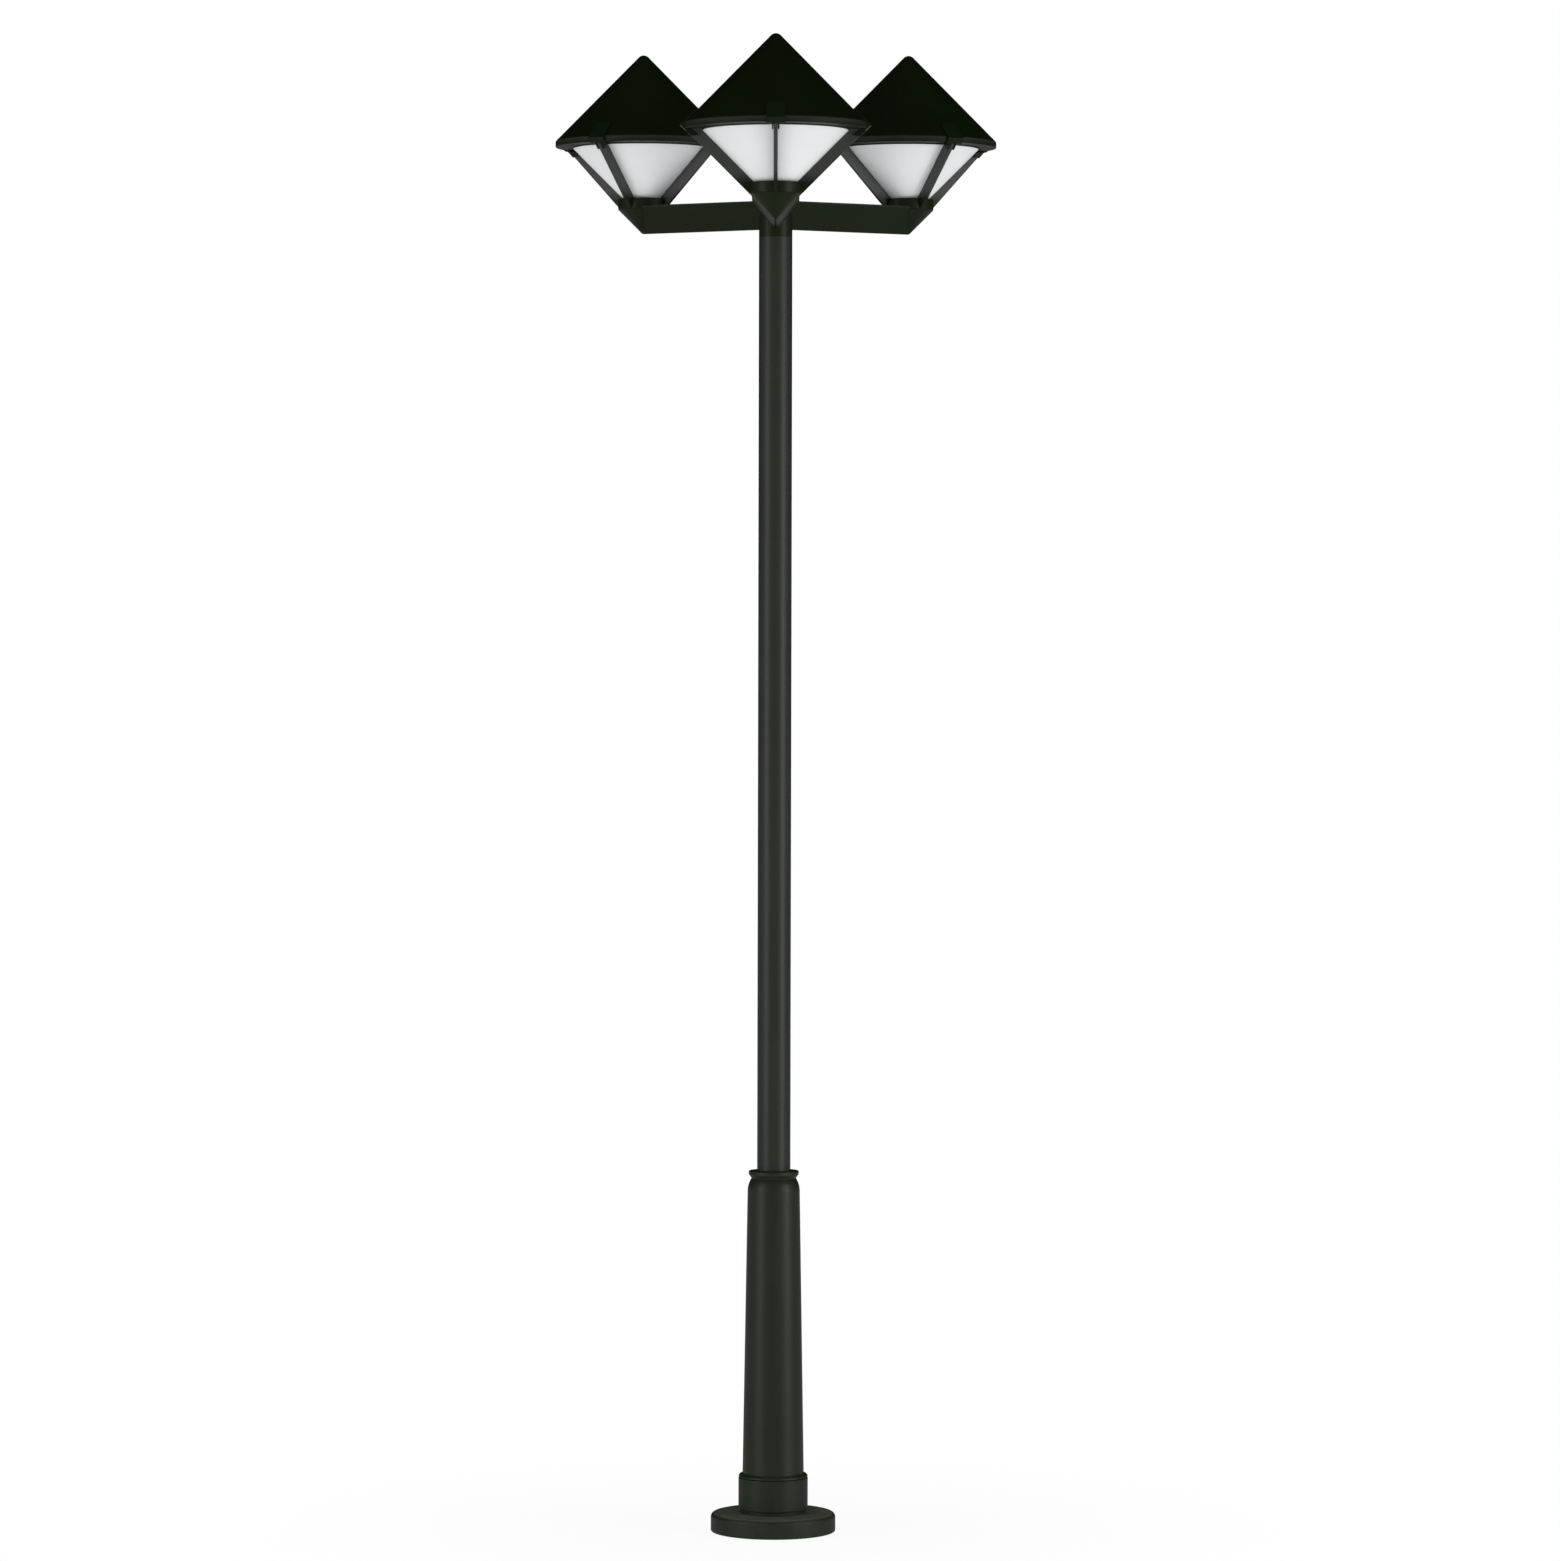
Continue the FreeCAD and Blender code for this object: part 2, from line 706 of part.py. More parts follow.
def roof():
    """A spun cone with a short upright band at its rim, an inward flange and a rounded tip."""
    slope = Vector(-roof_radius, 0, roof_rise).normalize()
    outward = Vector(slope.z, 0, -slope.x)
    cone_bottom = rim_height + roof_band
    apex = cone_bottom + roof_rise
    tip_centre = Vector(0, 0, apex - roof_tip_rounding / outward.z)
    inner_rounding = roof_tip_rounding - roof_wall
    outer_touch = tip_centre + outward * roof_tip_rounding
    inner_touch = tip_centre + outward * inner_rounding
    half_way = (outward + up).normalize()
    inner_radius = roof_radius - roof_wall
    flange_top = rim_height + roof_wall
    rise_per_run = roof_rise / roof_radius
    inner_cone_bottom = inner_touch.z - (inner_radius - inner_touch.x) * rise_per_run
    band_top = Vector(roof_radius, 0, cone_bottom)
    points = [
        Vector(roof_opening_radius, 0, flange_top),
        Vector(roof_opening_radius, 0, rim_height),
        Vector(roof_radius, 0, rim_height),
        band_top,
        outer_touch,
    ]
    edges = [Part.LineSegment(first, second).toShape() for first, second in zip(points, points[1:])]
    outer_top = tip_centre + up * roof_tip_rounding
    inner_top = tip_centre + up * inner_rounding
    edges.append(Part.Arc(outer_touch, tip_centre + half_way * roof_tip_rounding, outer_top).toShape())
    edges.append(Part.LineSegment(outer_top, inner_top).toShape())
    edges.append(Part.Arc(inner_top, tip_centre + half_way * inner_rounding, inner_touch).toShape())
    points = [
        inner_touch,
        Vector(inner_radius, 0, inner_cone_bottom),
        Vector(inner_radius, 0, flange_top),
        Vector(roof_opening_radius, 0, flange_top),
    ]
    edges += [Part.LineSegment(first, second).toShape() for first, second in zip(points, points[1:])]
    return Part.Face(Part.Wire(edges)).revolve(origin, up, 360.0)


def roof_clip():
    """One clip: it hooks round the roof's rim and its fork straddles the tip of a fin."""
    rise_per_run = roof_rise / roof_radius
    cone_bottom = rim_height + roof_band
    lie = roof_radius + seat_gap
    on_cone = cone_bottom + seat_gap
    top_radius = lie - clip_reach
    top_height = on_cone + clip_reach * rise_per_run
    out = clip_thickness * diagonal
    nose = (fin_tip + on_cone + lie - fin_tip + out) / 2.0
    hook = outline([
        (clip_bottom, clip_bottom),
        (nose, nose, 1.5),
        (top_radius + out / 2.0, top_height + out / 2.0, 0.8),
        (top_radius, top_height),
        (lie, on_cone),
        (lie, rim_height - seat_gap),
        (lie - clip_hook, rim_height - seat_gap),
        (lie - clip_hook, clip_bottom),
    ])
    wide = math.degrees(math.atan2(clip_width / 2.0, roof_radius)) * 1.3
    hook.rotate(origin, up, -wide)
    hook = hook.revolve(origin, up, 2.0 * wide)
    half = clip_width / 2.0
    shape = outline([
        (-half, clip_bottom - 1.0),
        (half, clip_bottom - 1.0),
        (half, top_height + out, clip_corner_rounding),
        (-half, top_height + out, clip_corner_rounding),
    ])
    shape.rotate(origin, up, 90.0)
    hook = hook.common(shape.extrude(Vector(2.0 * roof_radius, 0, 0)))
    fork_top = clip_bottom + clip_thickness / 2.0
    fork_bottom = fin_tip - clip_fork_depth
    fork_half = fin_thickness / 2.0 + moving_gap + clip_fork_wall
    fork = outline([
        (fork_bottom, fork_bottom),
        (fork_top, fork_top),
        (fork_top - clip_fork_length, fork_top),
        (fork_bottom - clip_fork_length + 2.0, fork_bottom + 2.0, 2.0),
    ])
    fork.translate(Vector(0, -fork_half, 0))
    fork = fork.extrude(Vector(0, 2.0 * fork_half, 0))
    slot = Part.makeBox(2.0 * roof_radius, fin_thickness + 2.0 * moving_gap, clip_bottom)
    slot.translate(Vector(0, -fin_thickness / 2.0 - moving_gap, 0))
    clip = hook.fuse(fork.cut(slot))
    return clip.cut(lock_screw_hole(lock_screw_radius + thread_gap, fork_half + 1.0)).removeSplitter()


def lock_screw_centre():
    height = fin_tip - clip_fork_depth / 2.0
    return Vector(height - clip_fork_length / 2.0, 0, height)


def lock_screw_hole(radius, reach):
    centre = lock_screw_centre()
    return rod(radius, centre, centre + Vector(0, reach, 0))


def roof_clips():
    return Part.makeCompound(around(roof_clip(), fins_per_lantern))


def roof_lock_screws():
    centre = lock_screw_centre()
    side = fin_thickness / 2.0 + moving_gap
    screw = socket_screw(lock_screw_radius, centre + Vector(0, side, 0),
                         centre + Vector(0, side + clip_fork_wall, 0))
    return Part.makeCompound(around(screw, fins_per_lantern))


# Lampholder and lamp

def holder_screw(radius, bottom, top):
    screws = []
    for side in (-1.0, 1.0):
        screws.append(rod(radius, Vector(0, side * holder_screw_circle, bottom), Vector(0, side * holder_screw_circle, top)))
    return screws


def holder_plate():
    plate = turned([
        (plate_hole_radius, cage_bottom),
        (plate_radius, cage_bottom),
        (plate_radius, cage_bottom + plate_thickness),
        (plate_hole_radius, cage_bottom + plate_thickness),
    ])
    for hole in holder_screw(holder_screw_radius + thread_gap, 0.0, fin_tip):
        plate = plate.cut(hole)
    return plate


def lampholder():
    top = holder_bottom + holder_height
    socket_bottom = top - holder_socket_depth
    shoulder = holder_bottom + holder_base_height
    foot_top = holder_bottom + holder_foot_height
    holder = turned([
        (arm_cable_radius + seat_gap, holder_bottom),
        (holder_foot_radius, holder_bottom),
        (holder_foot_radius, foot_top, 1.5),
        (holder_radius - 3.0, foot_top, 1.5),
        (holder_radius - 3.0, shoulder - 3.0),
        (holder_radius, shoulder),
        (holder_radius, top, 2.0),
        (holder_socket_radius, top),
        (holder_socket_radius, socket_bottom),
        (arm_cable_radius + seat_gap, socket_bottom),
    ])
    for hole in holder_screw(holder_screw_radius + thread_gap, 0.0, shoulder):
        holder = holder.cut(hole)
    return holder


def holder_screws():
    top = holder_bottom + holder_foot_height
    pieces = []
    for azimuth in arm_azimuths.values():
        shanks = holder_screw(holder_screw_radius, cage_bottom - holder_screw_radius, top + seat_gap)
        heads = holder_screw(holder_screw_radius * 1.8, top + seat_gap, top + seat_gap + holder_screw_radius)
        for shank, head in zip(shanks, heads):
            pieces.append(at_lantern(shank.fuse(head), azimuth))
    return Part.makeCompound(pieces)


def lamp_cap():
    """The metal screw cap of the lamp, with its contact at the lower end."""
    return turned([
        (0, lamp_bottom),
        (lamp_cap_radius * 0.35, lamp_bottom),
        (lamp_cap_radius * 0.5, lamp_bottom + 2.5),
        (lamp_cap_radius - 1.0, lamp_bottom + 4.0),
        (lamp_cap_radius, lamp_bottom + 6.0),
        (lamp_cap_radius, lamp_bottom + lamp_cap_length),
        (0, lamp_bottom + lamp_cap_length),
    ])


def lamp_globe():
    """The lamp's body: a neck that swells to a round globe."""
    bottom = lamp_bottom + lamp_cap_length + seat_gap / 4.0
    top = lamp_bottom + lamp_length
    centre = top - lamp_globe_radius
    throat = Vector(lamp_neck_radius, 0, bottom + 6.0)
    angle = math.radians(-28.0)
    touch = Vector(lamp_globe_radius * math.cos(angle), 0, centre + lamp_globe_radius * math.sin(angle))
    edges = [
        Part.LineSegment(Vector(0, 0, bottom), Vector(lamp_neck_radius, 0, bottom)).toShape(),
        Part.LineSegment(Vector(lamp_neck_radius, 0, bottom), throat).toShape(),
        Part.LineSegment(throat, touch).toShape(),
        Part.Arc(touch, Vector(lamp_globe_radius * math.cos(math.pi / 4.0), 0,
                               centre + lamp_globe_radius * math.sin(math.pi / 4.0)), Vector(0, 0, top)).toShape(),
        Part.LineSegment(Vector(0, 0, top), Vector(0, 0, bottom)).toShape(),
    ]
    return Part.Face(Part.Wire(edges)).revolve(origin, up, 360.0)


def save(node, shape):
    shape.exportStep("parts/" + node + ".step")
    print(node, len(shape.Solids), "solids", round(shape.Volume / 1000.0, 2), "cm3")


def main():
    os.makedirs("parts", exist_ok=True)
    save("foot_flange", foot_flange())
    save("foot_grub_screws", foot_grub_screws())
    save("cable_bush", cable_bush())
    save("base_terminal", base_terminal())
    save("post_tube", post_tube())
    save("head_grub_screws", head_grub_screws())
    save("riser_cable", riser_cable())
    save("base_ring", base_ring())
    save("shoulder_ring", shoulder_ring())
    save("tapered_sleeve", tapered_sleeve())
    save("sleeve_collar", sleeve_collar())
    save("collar_grub_screw", collar_grub_screw())
    save("hub_core", hub_core())
    save("hub_cap", hub_cap())
    save("hub_cap_screws", hub_cap_screws())
    save("hub_terminal", hub_terminal())
    save("cable_grommets", cable_grommets())
    save("holder_screws", holder_screws())
    lantern_pieces = {
        "lamp_cup": lamp_cup(),
        "lamp_cage": lamp_cage(),
        "diffuser": diffuser(),
        "diffuser_gasket": diffuser_gasket(),
        "holder_plate": holder_plate(),
        "lampholder": lampholder(),
        "roof": roof(),
        "roof_clips": roof_clips(),
        "roof_lock_screws": roof_lock_screws(),
        "lamp_cap": lamp_cap(),
        "lamp_globe": lamp_globe(),
    }
    for side, azimuth in arm_azimuths.items():
        save("arm_" + side, arm(azimuth))
        save("arm_cable_" + side, arm_cable(azimuth))
        for name, shape in lantern_pieces.items():
            save(name + "_" + side, at_lantern(shape, azimuth))


main()
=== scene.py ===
import bpy
import bmesh
import math
from mathutils import Matrix, Vector


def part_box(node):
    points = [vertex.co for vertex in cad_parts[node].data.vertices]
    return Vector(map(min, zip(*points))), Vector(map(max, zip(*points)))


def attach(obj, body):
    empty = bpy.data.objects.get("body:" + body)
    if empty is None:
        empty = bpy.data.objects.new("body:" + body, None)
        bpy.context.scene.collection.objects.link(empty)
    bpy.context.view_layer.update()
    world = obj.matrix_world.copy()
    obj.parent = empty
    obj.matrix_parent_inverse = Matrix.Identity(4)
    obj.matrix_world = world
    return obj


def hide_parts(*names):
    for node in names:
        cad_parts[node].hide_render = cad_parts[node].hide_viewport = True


# Triple head lamp post. The post stands on Z, the front arm points along -Y.
# Lengths are in metres, and places come from the frame's own nodes.

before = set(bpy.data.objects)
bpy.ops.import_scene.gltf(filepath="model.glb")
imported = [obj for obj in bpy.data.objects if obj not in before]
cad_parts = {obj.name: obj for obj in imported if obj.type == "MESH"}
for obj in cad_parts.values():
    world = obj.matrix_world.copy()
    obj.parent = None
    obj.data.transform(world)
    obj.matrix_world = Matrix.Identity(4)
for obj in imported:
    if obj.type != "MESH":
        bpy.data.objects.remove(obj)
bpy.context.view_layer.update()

sides = {"front": -90.0, "right": 30.0, "left": 150.0}  # arm directions in degrees
diagonal = math.sqrt(2)


def halfWidth(node):
    # half of a CAD node's larger width
    low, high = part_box(node)
    return max(high.x - low.x, high.y - low.y) / 2


def lanternPlace(side):
    # the point where the cup's cone would end, turned so that +X leads away from the post
    low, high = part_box("lamp_cup_" + side)
    middle = Vector(((low.x + high.x) / 2, (low.y + high.y) / 2, high.z - halfWidth("lamp_cup_" + side)))
    return Matrix.Translation(middle) @ Matrix.Rotation(math.radians(sides[side]), 4, "Z")


lanternPlaces = {side: lanternPlace(side) for side in sides}
lanternBase = lanternPlaces["front"].translation.z
armHeight = 0.052
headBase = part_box("hub_core")[1].z - armHeight  # the arms' lower edge


# shading: a socket that can be used in sums, and a node tree that is filled by one method

class Wire:
    def __init__(self, graph, socket):
        self.graph = graph
        self.socket = socket

    def maths(self, operation, first, second):
        return self.graph.node("ShaderNodeMath", {"operation": operation}, {0: first, 1: second})

    def __add__(self, other):
        return self.maths("ADD", self, other)

    def __radd__(self, other):
        return self.maths("ADD", other, self)

    def __sub__(self, other):
        return self.maths("SUBTRACT", self, other)

    def __rsub__(self, other):
        return self.maths("SUBTRACT", other, self)

    def __mul__(self, other):
        return self.maths("MULTIPLY", self, other)

    def __truediv__(self, other):
        return self.maths("DIVIDE", self, other)

    def __pow__(self, other):
        return self.maths("POWER", self, other)

    def clamped(self):
        return self.graph.node("ShaderNodeClamp", {}, {"Value": self})

    def spread(self, gain, offset):
        # a noise stretched over its full range
        return (self * gain - offset).clamped()


class Graph:
    def __init__(self, tree):
        self.tree = tree
        tree.nodes.clear()

    def node(self, kind, settings, sockets, output=0):
        made = self.tree.nodes.new(kind)
        for setting, value in settings.items():
            if setting == "stops":
                ramp = made.color_ramp.elements
                while len(ramp) < len(value):
                    ramp.new(0.5)
                for stop, (place, colour) in zip(ramp, value):
                    stop.position = place
                    stop.color = colour
            else:
                setattr(made, setting, value)
        for name, value in sockets.items():
            if isinstance(value, Wire):
                self.tree.links.new(value.socket, made.inputs[name])
            else:
                made.inputs[name].default_value = value
        return Wire(self, made.outputs[output])

    def place(self, stretch=None):
        here = self.node("ShaderNodeTexCoord", {}, {}, "Object")
        if stretch is None:
            return here
        return self.node("ShaderNodeMapping", {}, {"Vector": here, "Scale": stretch})

    def height(self):
        return self.node("ShaderNodeSeparateXYZ", {}, {0: self.place()}, "Z")

    def ray(self, kind):
        return self.node("ShaderNodeLightPath", {}, {}, "Is " + kind + " Ray")

    def noise(self, scale, detail, stretch=None):
        sockets = {"Scale": scale, "Detail": detail, "Roughness": 0.55, "Vector": self.place(stretch)}
        return self.node("ShaderNodeTexNoise", {}, sockets, "Fac")

    def mixed(self, factor, first, second):
        return self.node("ShaderNodeMix", {"data_type": "RGBA"}, {0: factor, 6: first, 7: second}, 2)

    def finish(self, shader, kind="ShaderNodeOutputMaterial"):
        output = self.tree.nodes.new(kind)
        self.tree.links.new(shader.socket, output.inputs["Surface"])


def newMaterial(name):
    material = bpy.data.materials.new(name)
    material.use_nodes = True
    return material, Graph(material.node_tree)


def shade(red, green, blue):
    return (red, green, blue, 1.0)


postLook = {
    "dark": (0.0128, 0.0174, 0.0098), "light": (0.0170, 0.0222, 0.0134), "dustAndSheen": (0.058, 0.064, 0.048),
    "driftScale": 7.0, "driftSpread": (1.8, 0.4), "peelScale": 480.0, "gritScale": 1900.0,
    "streakScale": 60.0, "streakStretch": (1.0, 1.0, 0.03), "streakSpread": (2.2, 1.1), "streak": 0.030,
    "soilScale": 38.0, "soilSpread": (1.8, 0.6), "splashTop": 0.30, "splashFall": 2.0, "splash": 0.10,
    "sheenLow": 0.0310, "sheenHigh": 0.0340, "sheenMargin": 0.0002, "sheenFade": 0.0001,
    "sheenMottle": 0.8, "sheenLeast": 0.6, "paintedSheen": 0.0,
    "rough": 0.42, "roughDrift": 0.08, "gritRough": 0.06, "dustAndSheenRough": 0.5, "specular": 0.32,
    "gritShare": 0.25, "driftShare": 2.0, "bump": 0.14, "bumpDepth": 0.0006,
}
# cast parts: the painted sheen band lies on the foot flange's top, a painted highlight for the horizon
# reflected there
castLook = dict(postLook, dark=(0.0070, 0.0138, 0.0042), light=(0.0100, 0.0174, 0.0068), peelScale=300.0,
                gritScale=1100.0, gritShare=0.8, rough=0.46, bump=0.30, splash=0.14, paintedSheen=0.75)
sleeveLook = dict(postLook, dark=(0.0078, 0.0144, 0.0044), light=(0.0108, 0.0178, 0.0070))
armLook = dict(postLook, dark=(0.0042, 0.0102, 0.0006), light=(0.0060, 0.0128, 0.0014), rough=0.40,
               specular=0.21, streak=0.012)
# roof: the painted sheen band covers the rim band, a painted highlight for the light that band catches
roofLook = dict(postLook, dark=(0.0026, 0.0062, 0.0004), light=(0.0038, 0.0082, 0.0010), rough=0.44,
                specular=0.14, streak=0.008, sheenLow=2.5020, sheenHigh=2.5130, paintedSheen=0.26)
# fins: a painted lighter grey standing for the light on their broad faces; the cage ring keeps the dark arm
# coat, and near the ring the fins fade back to a dark tone
finLitLook = dict(postLook, dark=(0.0330, 0.0365, 0.0330), light=(0.0420, 0.0455, 0.0410), streak=0.012,
               root=(0.0050, 0.0115, 0.0010), rootLow=2.4097, rootHigh=2.4260)
clipLook = dict(postLook, dark=(0.0032, 0.0080, 0.0012), light=(0.0048, 0.0102, 0.0022), specular=0.20,
                streak=0.010)


def powderCoat(name, look):
    # satin powder coat: orange peel, slow drift in tone and gloss, faint rain streaks, soil splashed
    # low down, a painted sheen (a lighter dust-coloured band at a set height, standing for light caught
    # there), and on the fins a painted lighter tone that fades to the cage's own dark paint near the ring
    material, graph = newMaterial(name)
    drift = graph.noise(look["driftScale"], detail=3.0)
    peel = graph.noise(look["peelScale"], detail=2.0)
    grit = graph.noise(look["gritScale"], detail=4.0)
    streaks = graph.noise(look["streakScale"], detail=3.0, stretch=look["streakStretch"])
    soil = graph.noise(look["soilScale"], detail=5.0)
    height = graph.height()
    tone = graph.mixed(drift.spread(*look["driftSpread"]), shade(*look["dark"]), shade(*look["light"]))
    # painted light on the fins: their lighter grey gives way to the cage's own dark tone below the ring's top
    if "root" in look:
        root = ((height - look["rootLow"]) / (look["rootHigh"] - look["rootLow"])).clamped()
        tone = graph.mixed(root, shade(*look["root"]), tone)
    low = (1 - height / look["splashTop"]).clamped() ** look["splashFall"]
    dustAndSheenMask = streaks.spread(*look["streakSpread"]) * look["streak"]
    dustAndSheenMask = dustAndSheenMask + soil.spread(*look["soilSpread"]) * low * look["splash"]
    # painted sheen: the dust colour laid as a lighter band between two heights, standing for light caught on
    # a ledge or band
    if look["paintedSheen"] > 0:
        sheenRise = ((height - look["sheenLow"]) / (look["sheenHigh"] - look["sheenLow"])).clamped()
        # the painted sheen ends just above its band
        below = ((look["sheenHigh"] + look["sheenMargin"] - height) / look["sheenFade"]).clamped()
        dustAndSheenMask = dustAndSheenMask + sheenRise * below * look["paintedSheen"] * (soil * look["sheenMottle"] + look["sheenLeast"])
    # the dust colour takes the rain streaks, the splashed soil and the painted sheen
    colour = graph.mixed(dustAndSheenMask.clamped(), tone, shade(*look["dustAndSheen"]))
    rough = look["rough"] + (drift - 0.5) * look["roughDrift"] + (grit - 0.5) * look["gritRough"]
    rough = (rough + dustAndSheenMask * look["dustAndSheenRough"]).clamped()
    relief = peel + grit * look["gritShare"] + drift * look["driftShare"]
    bump = graph.node("ShaderNodeBump", {}, {"Strength": look["bump"], "Distance": look["bumpDepth"],
                                             "Height": relief})
    graph.finish(graph.node("ShaderNodeBsdfPrincipled", {}, {
        "Base Color": colour,
        "Roughness": rough,
        "Specular IOR Level": look["specular"],
        "Normal": bump,
    }))
    return material


def opalAcrylic():
    # milky moulded plastic, a little cloudy inside, with a fine satin grain
    look = {"clear": (0.826, 0.852, 0.878), "milky": (0.866, 0.886, 0.908), "cloudScale": 14.0,
            "cloudSpread": (1.8, 0.4), "grainScale": 420.0, "rough": 0.32, "roughGrain": 0.08,
            "bump": 0.05, "bumpDepth": 0.0004, "inner": 0.25, "innerReach": 0.012}
    material, graph = newMaterial("opal_acrylic")
    cloud = graph.noise(look["cloudScale"], detail=3.0)
    fine = graph.noise(look["grainScale"], detail=2.0)
    colour = graph.mixed(cloud.spread(*look["cloudSpread"]), shade(*look["clear"]), shade(*look["milky"]))
    rough = (look["rough"] + (fine - 0.5) * look["roughGrain"]).clamped()
    bump = graph.node("ShaderNodeBump", {}, {"Strength": look["bump"], "Distance": look["bumpDepth"],
                                             "Height": fine})
    graph.finish(graph.node("ShaderNodeBsdfPrincipled", {}, {
        "Base Color": colour,
        "Roughness": rough,
        "Subsurface Weight": look["inner"],
        "Subsurface Radius": (look["innerReach"],) * 3,
        "Subsurface Scale": 1.0,
        "Normal": bump,
    }))
    return material


def plainFinish(name, dark, light, rough, metallic=0.0, grain=260.0, bump=0.12):
    # one small part's finish: two close tones, broken gloss and a fine grain
    share = {"mottle": 0.6, "cloud": 0.4, "cloudSize": 9, "mottleRough": 0.14, "cloudRough": 0.10,
             "bumpDepth": 0.0004}
    material, graph = newMaterial(name)
    mottle = graph.noise(grain, detail=3.0)
    cloud = graph.noise(grain / share["cloudSize"], detail=2.0)
    tone = (mottle * share["mottle"] + cloud * share["cloud"]).clamped()
    colour = graph.mixed(tone, shade(*dark), shade(*light))
    roughness = rough + (mottle - 0.5) * share["mottleRough"] + (cloud - 0.5) * share["cloudRough"]
    roughness = roughness.clamped()
    normal = graph.node("ShaderNodeBump", {}, {"Strength": bump, "Distance": share["bumpDepth"],
                                               "Height": mottle})
    graph.finish(graph.node("ShaderNodeBsdfPrincipled", {}, {
        "Base Color": colour,
        "Roughness": roughness,
        "Metallic": metallic,
        "Normal": normal,
    }))
    return material


finishes = {
    "post": powderCoat("post_coat", postLook),
    "cast": powderCoat("cast_coat", castLook),
    "sleeve": powderCoat("sleeve_coat", sleeveLook),
    "arm": powderCoat("arm_coat", armLook),
    "roof": powderCoat("roof_coat", roofLook),
    "fin": powderCoat("fin_lit_coat", finLitLook),
    "clip": powderCoat("clip_coat", clipLook),
    "opal": opalAcrylic(),
    "rubber": plainFinish("black_rubber", (0.012, 0.012, 0.012), (0.022, 0.022, 0.021), rough=0.72),
    "sheath": plainFinish("cable_sheath", (0.018, 0.018, 0.018), (0.030, 0.030, 0.029), rough=0.55),
    "steel": plainFinish("zinc_steel", (0.48, 0.48, 0.47), (0.60, 0.60, 0.58), rough=0.34, metallic=1.0,
                         grain=700.0, bump=0.06),
    "blackened": plainFinish("blackened_steel", (0.016, 0.017, 0.015), (0.026, 0.027, 0.024), rough=0.38,
                             grain=900.0, bump=0.05),
    "terminal": plainFinish("terminal_housing", (0.62, 0.61, 0.56), (0.72, 0.71, 0.66), rough=0.42),
    "ceramic": plainFinish("glazed_ceramic", (0.78, 0.77, 0.73), (0.86, 0.85, 0.82), rough=0.16,
                           grain=90.0, bump=0.03),
    "cap": plainFinish("nickel_cap", (0.56, 0.54, 0.50), (0.68, 0.66, 0.61), rough=0.26, metallic=1.0,
                       grain=500.0, bump=0.05),
    "glass": plainFinish("frosted_glass", (0.80, 0.80, 0.78), (0.88, 0.88, 0.86), rough=0.24, grain=60.0,
                         bump=0.02),
}
print("finishes made:", len(finishes))


def dressNodes():
    # the finishes of the CAD nodes that stay in view
    nodeFinishes = {
        "foot_flange": "cast", "foot_grub_screws": "steel", "cable_bush": "rubber",
        "base_terminal": "terminal", "post_tube": "post", "head_grub_screws": "blackened",
        "riser_cable": "sheath", "base_ring": "cast", "shoulder_ring": "cast", "tapered_sleeve": "sleeve",
        "sleeve_collar": "cast", "collar_grub_screw": "blackened", "hub_core": "arm", "hub_cap": "arm",
        "hub_cap_screws": "steel", "hub_terminal": "terminal", "cable_grommets": "rubber",
        "holder_screws": "steel",
    }
    lanternFinishes = {
        "arm": "arm", "arm_cable": "sheath", "lamp_cup": "arm", "lamp_cage": "fin", "diffuser": "opal",
        "diffuser_gasket": "rubber", "holder_plate": "steel", "lampholder": "ceramic", "roof": "roof",
        "roof_clips": "clip", "roof_lock_screws": "blackened", "lamp_cap": "cap", "lamp_globe": "glass",
    }
    for side in sides:
        for piece, finish in lanternFinishes.items():
            nodeFinishes[piece + "_" + side] = finish
    for node, finish in nodeFinishes.items():
        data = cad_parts[node].data
        data.materials.clear()
        data.materials.append(finishes[finish])


# shaping

def spun(corners, steps=96):
    # an outline of (radius, height, rounding) corners turned about Z; a rounding runs that far each way
    facets = {"length": 0.0007, "fewest": 3, "most": 24}
    shape = bmesh.new()
    dots = [shape.verts.new((corner[0], 0, corner[1])) for corner in corners]
    for here, following in zip(dots, dots[1:]):
        shape.edges.new((here, following))
    if corners[0][0] > 0 or corners[-1][0] > 0:
        shape.edges.new((dots[-1], dots[0]))
    for dot, corner in zip(dots, corners):
        if len(corner) > 2:
            segments = max(facets["fewest"], min(facets["most"], round(corner[2] / facets["length"])))
            bmesh.ops.bevel(shape, geom=[dot], offset=corner[2], affect="VERTICES", segments=segments,
                            profile=0.5, material=-1)
    bmesh.ops.spin(shape, geom=shape.verts[:] + shape.edges[:], cent=(0, 0, 0), axis=(0, 0, 1),
                   angle=math.tau, steps=steps, use_merge=True)
    bmesh.ops.remove_doubles(shape, verts=shape.verts, dist=1e-6)
    bmesh.ops.recalc_face_normals(shape, faces=shape.faces)
    return shape


def slab(corners, thickness, middle=0.0):
    # a flat plate in the XZ plane from (x, z) corners, thickened along Y
    shape = bmesh.new()
    dots = [shape.verts.new((corner[0], middle - thickness / 2, corner[1])) for corner in corners]
    face = shape.faces.new(dots)
    grown = bmesh.ops.extrude_face_region(shape, geom=[face])
    moved = [item for item in grown["geom"] if isinstance(item, bmesh.types.BMVert)]
    bmesh.ops.translate(shape, verts=moved, vec=(0, thickness, 0))
    bmesh.ops.recalc_face_normals(shape, faces=shape.faces)
    return shape


def cornerEdges(shape, least=0.6):
    # the edges whose faces meet at more than an angle in radians
    return [edge for edge in shape.edges if edge.is_manifold and edge.calc_face_angle() > least]


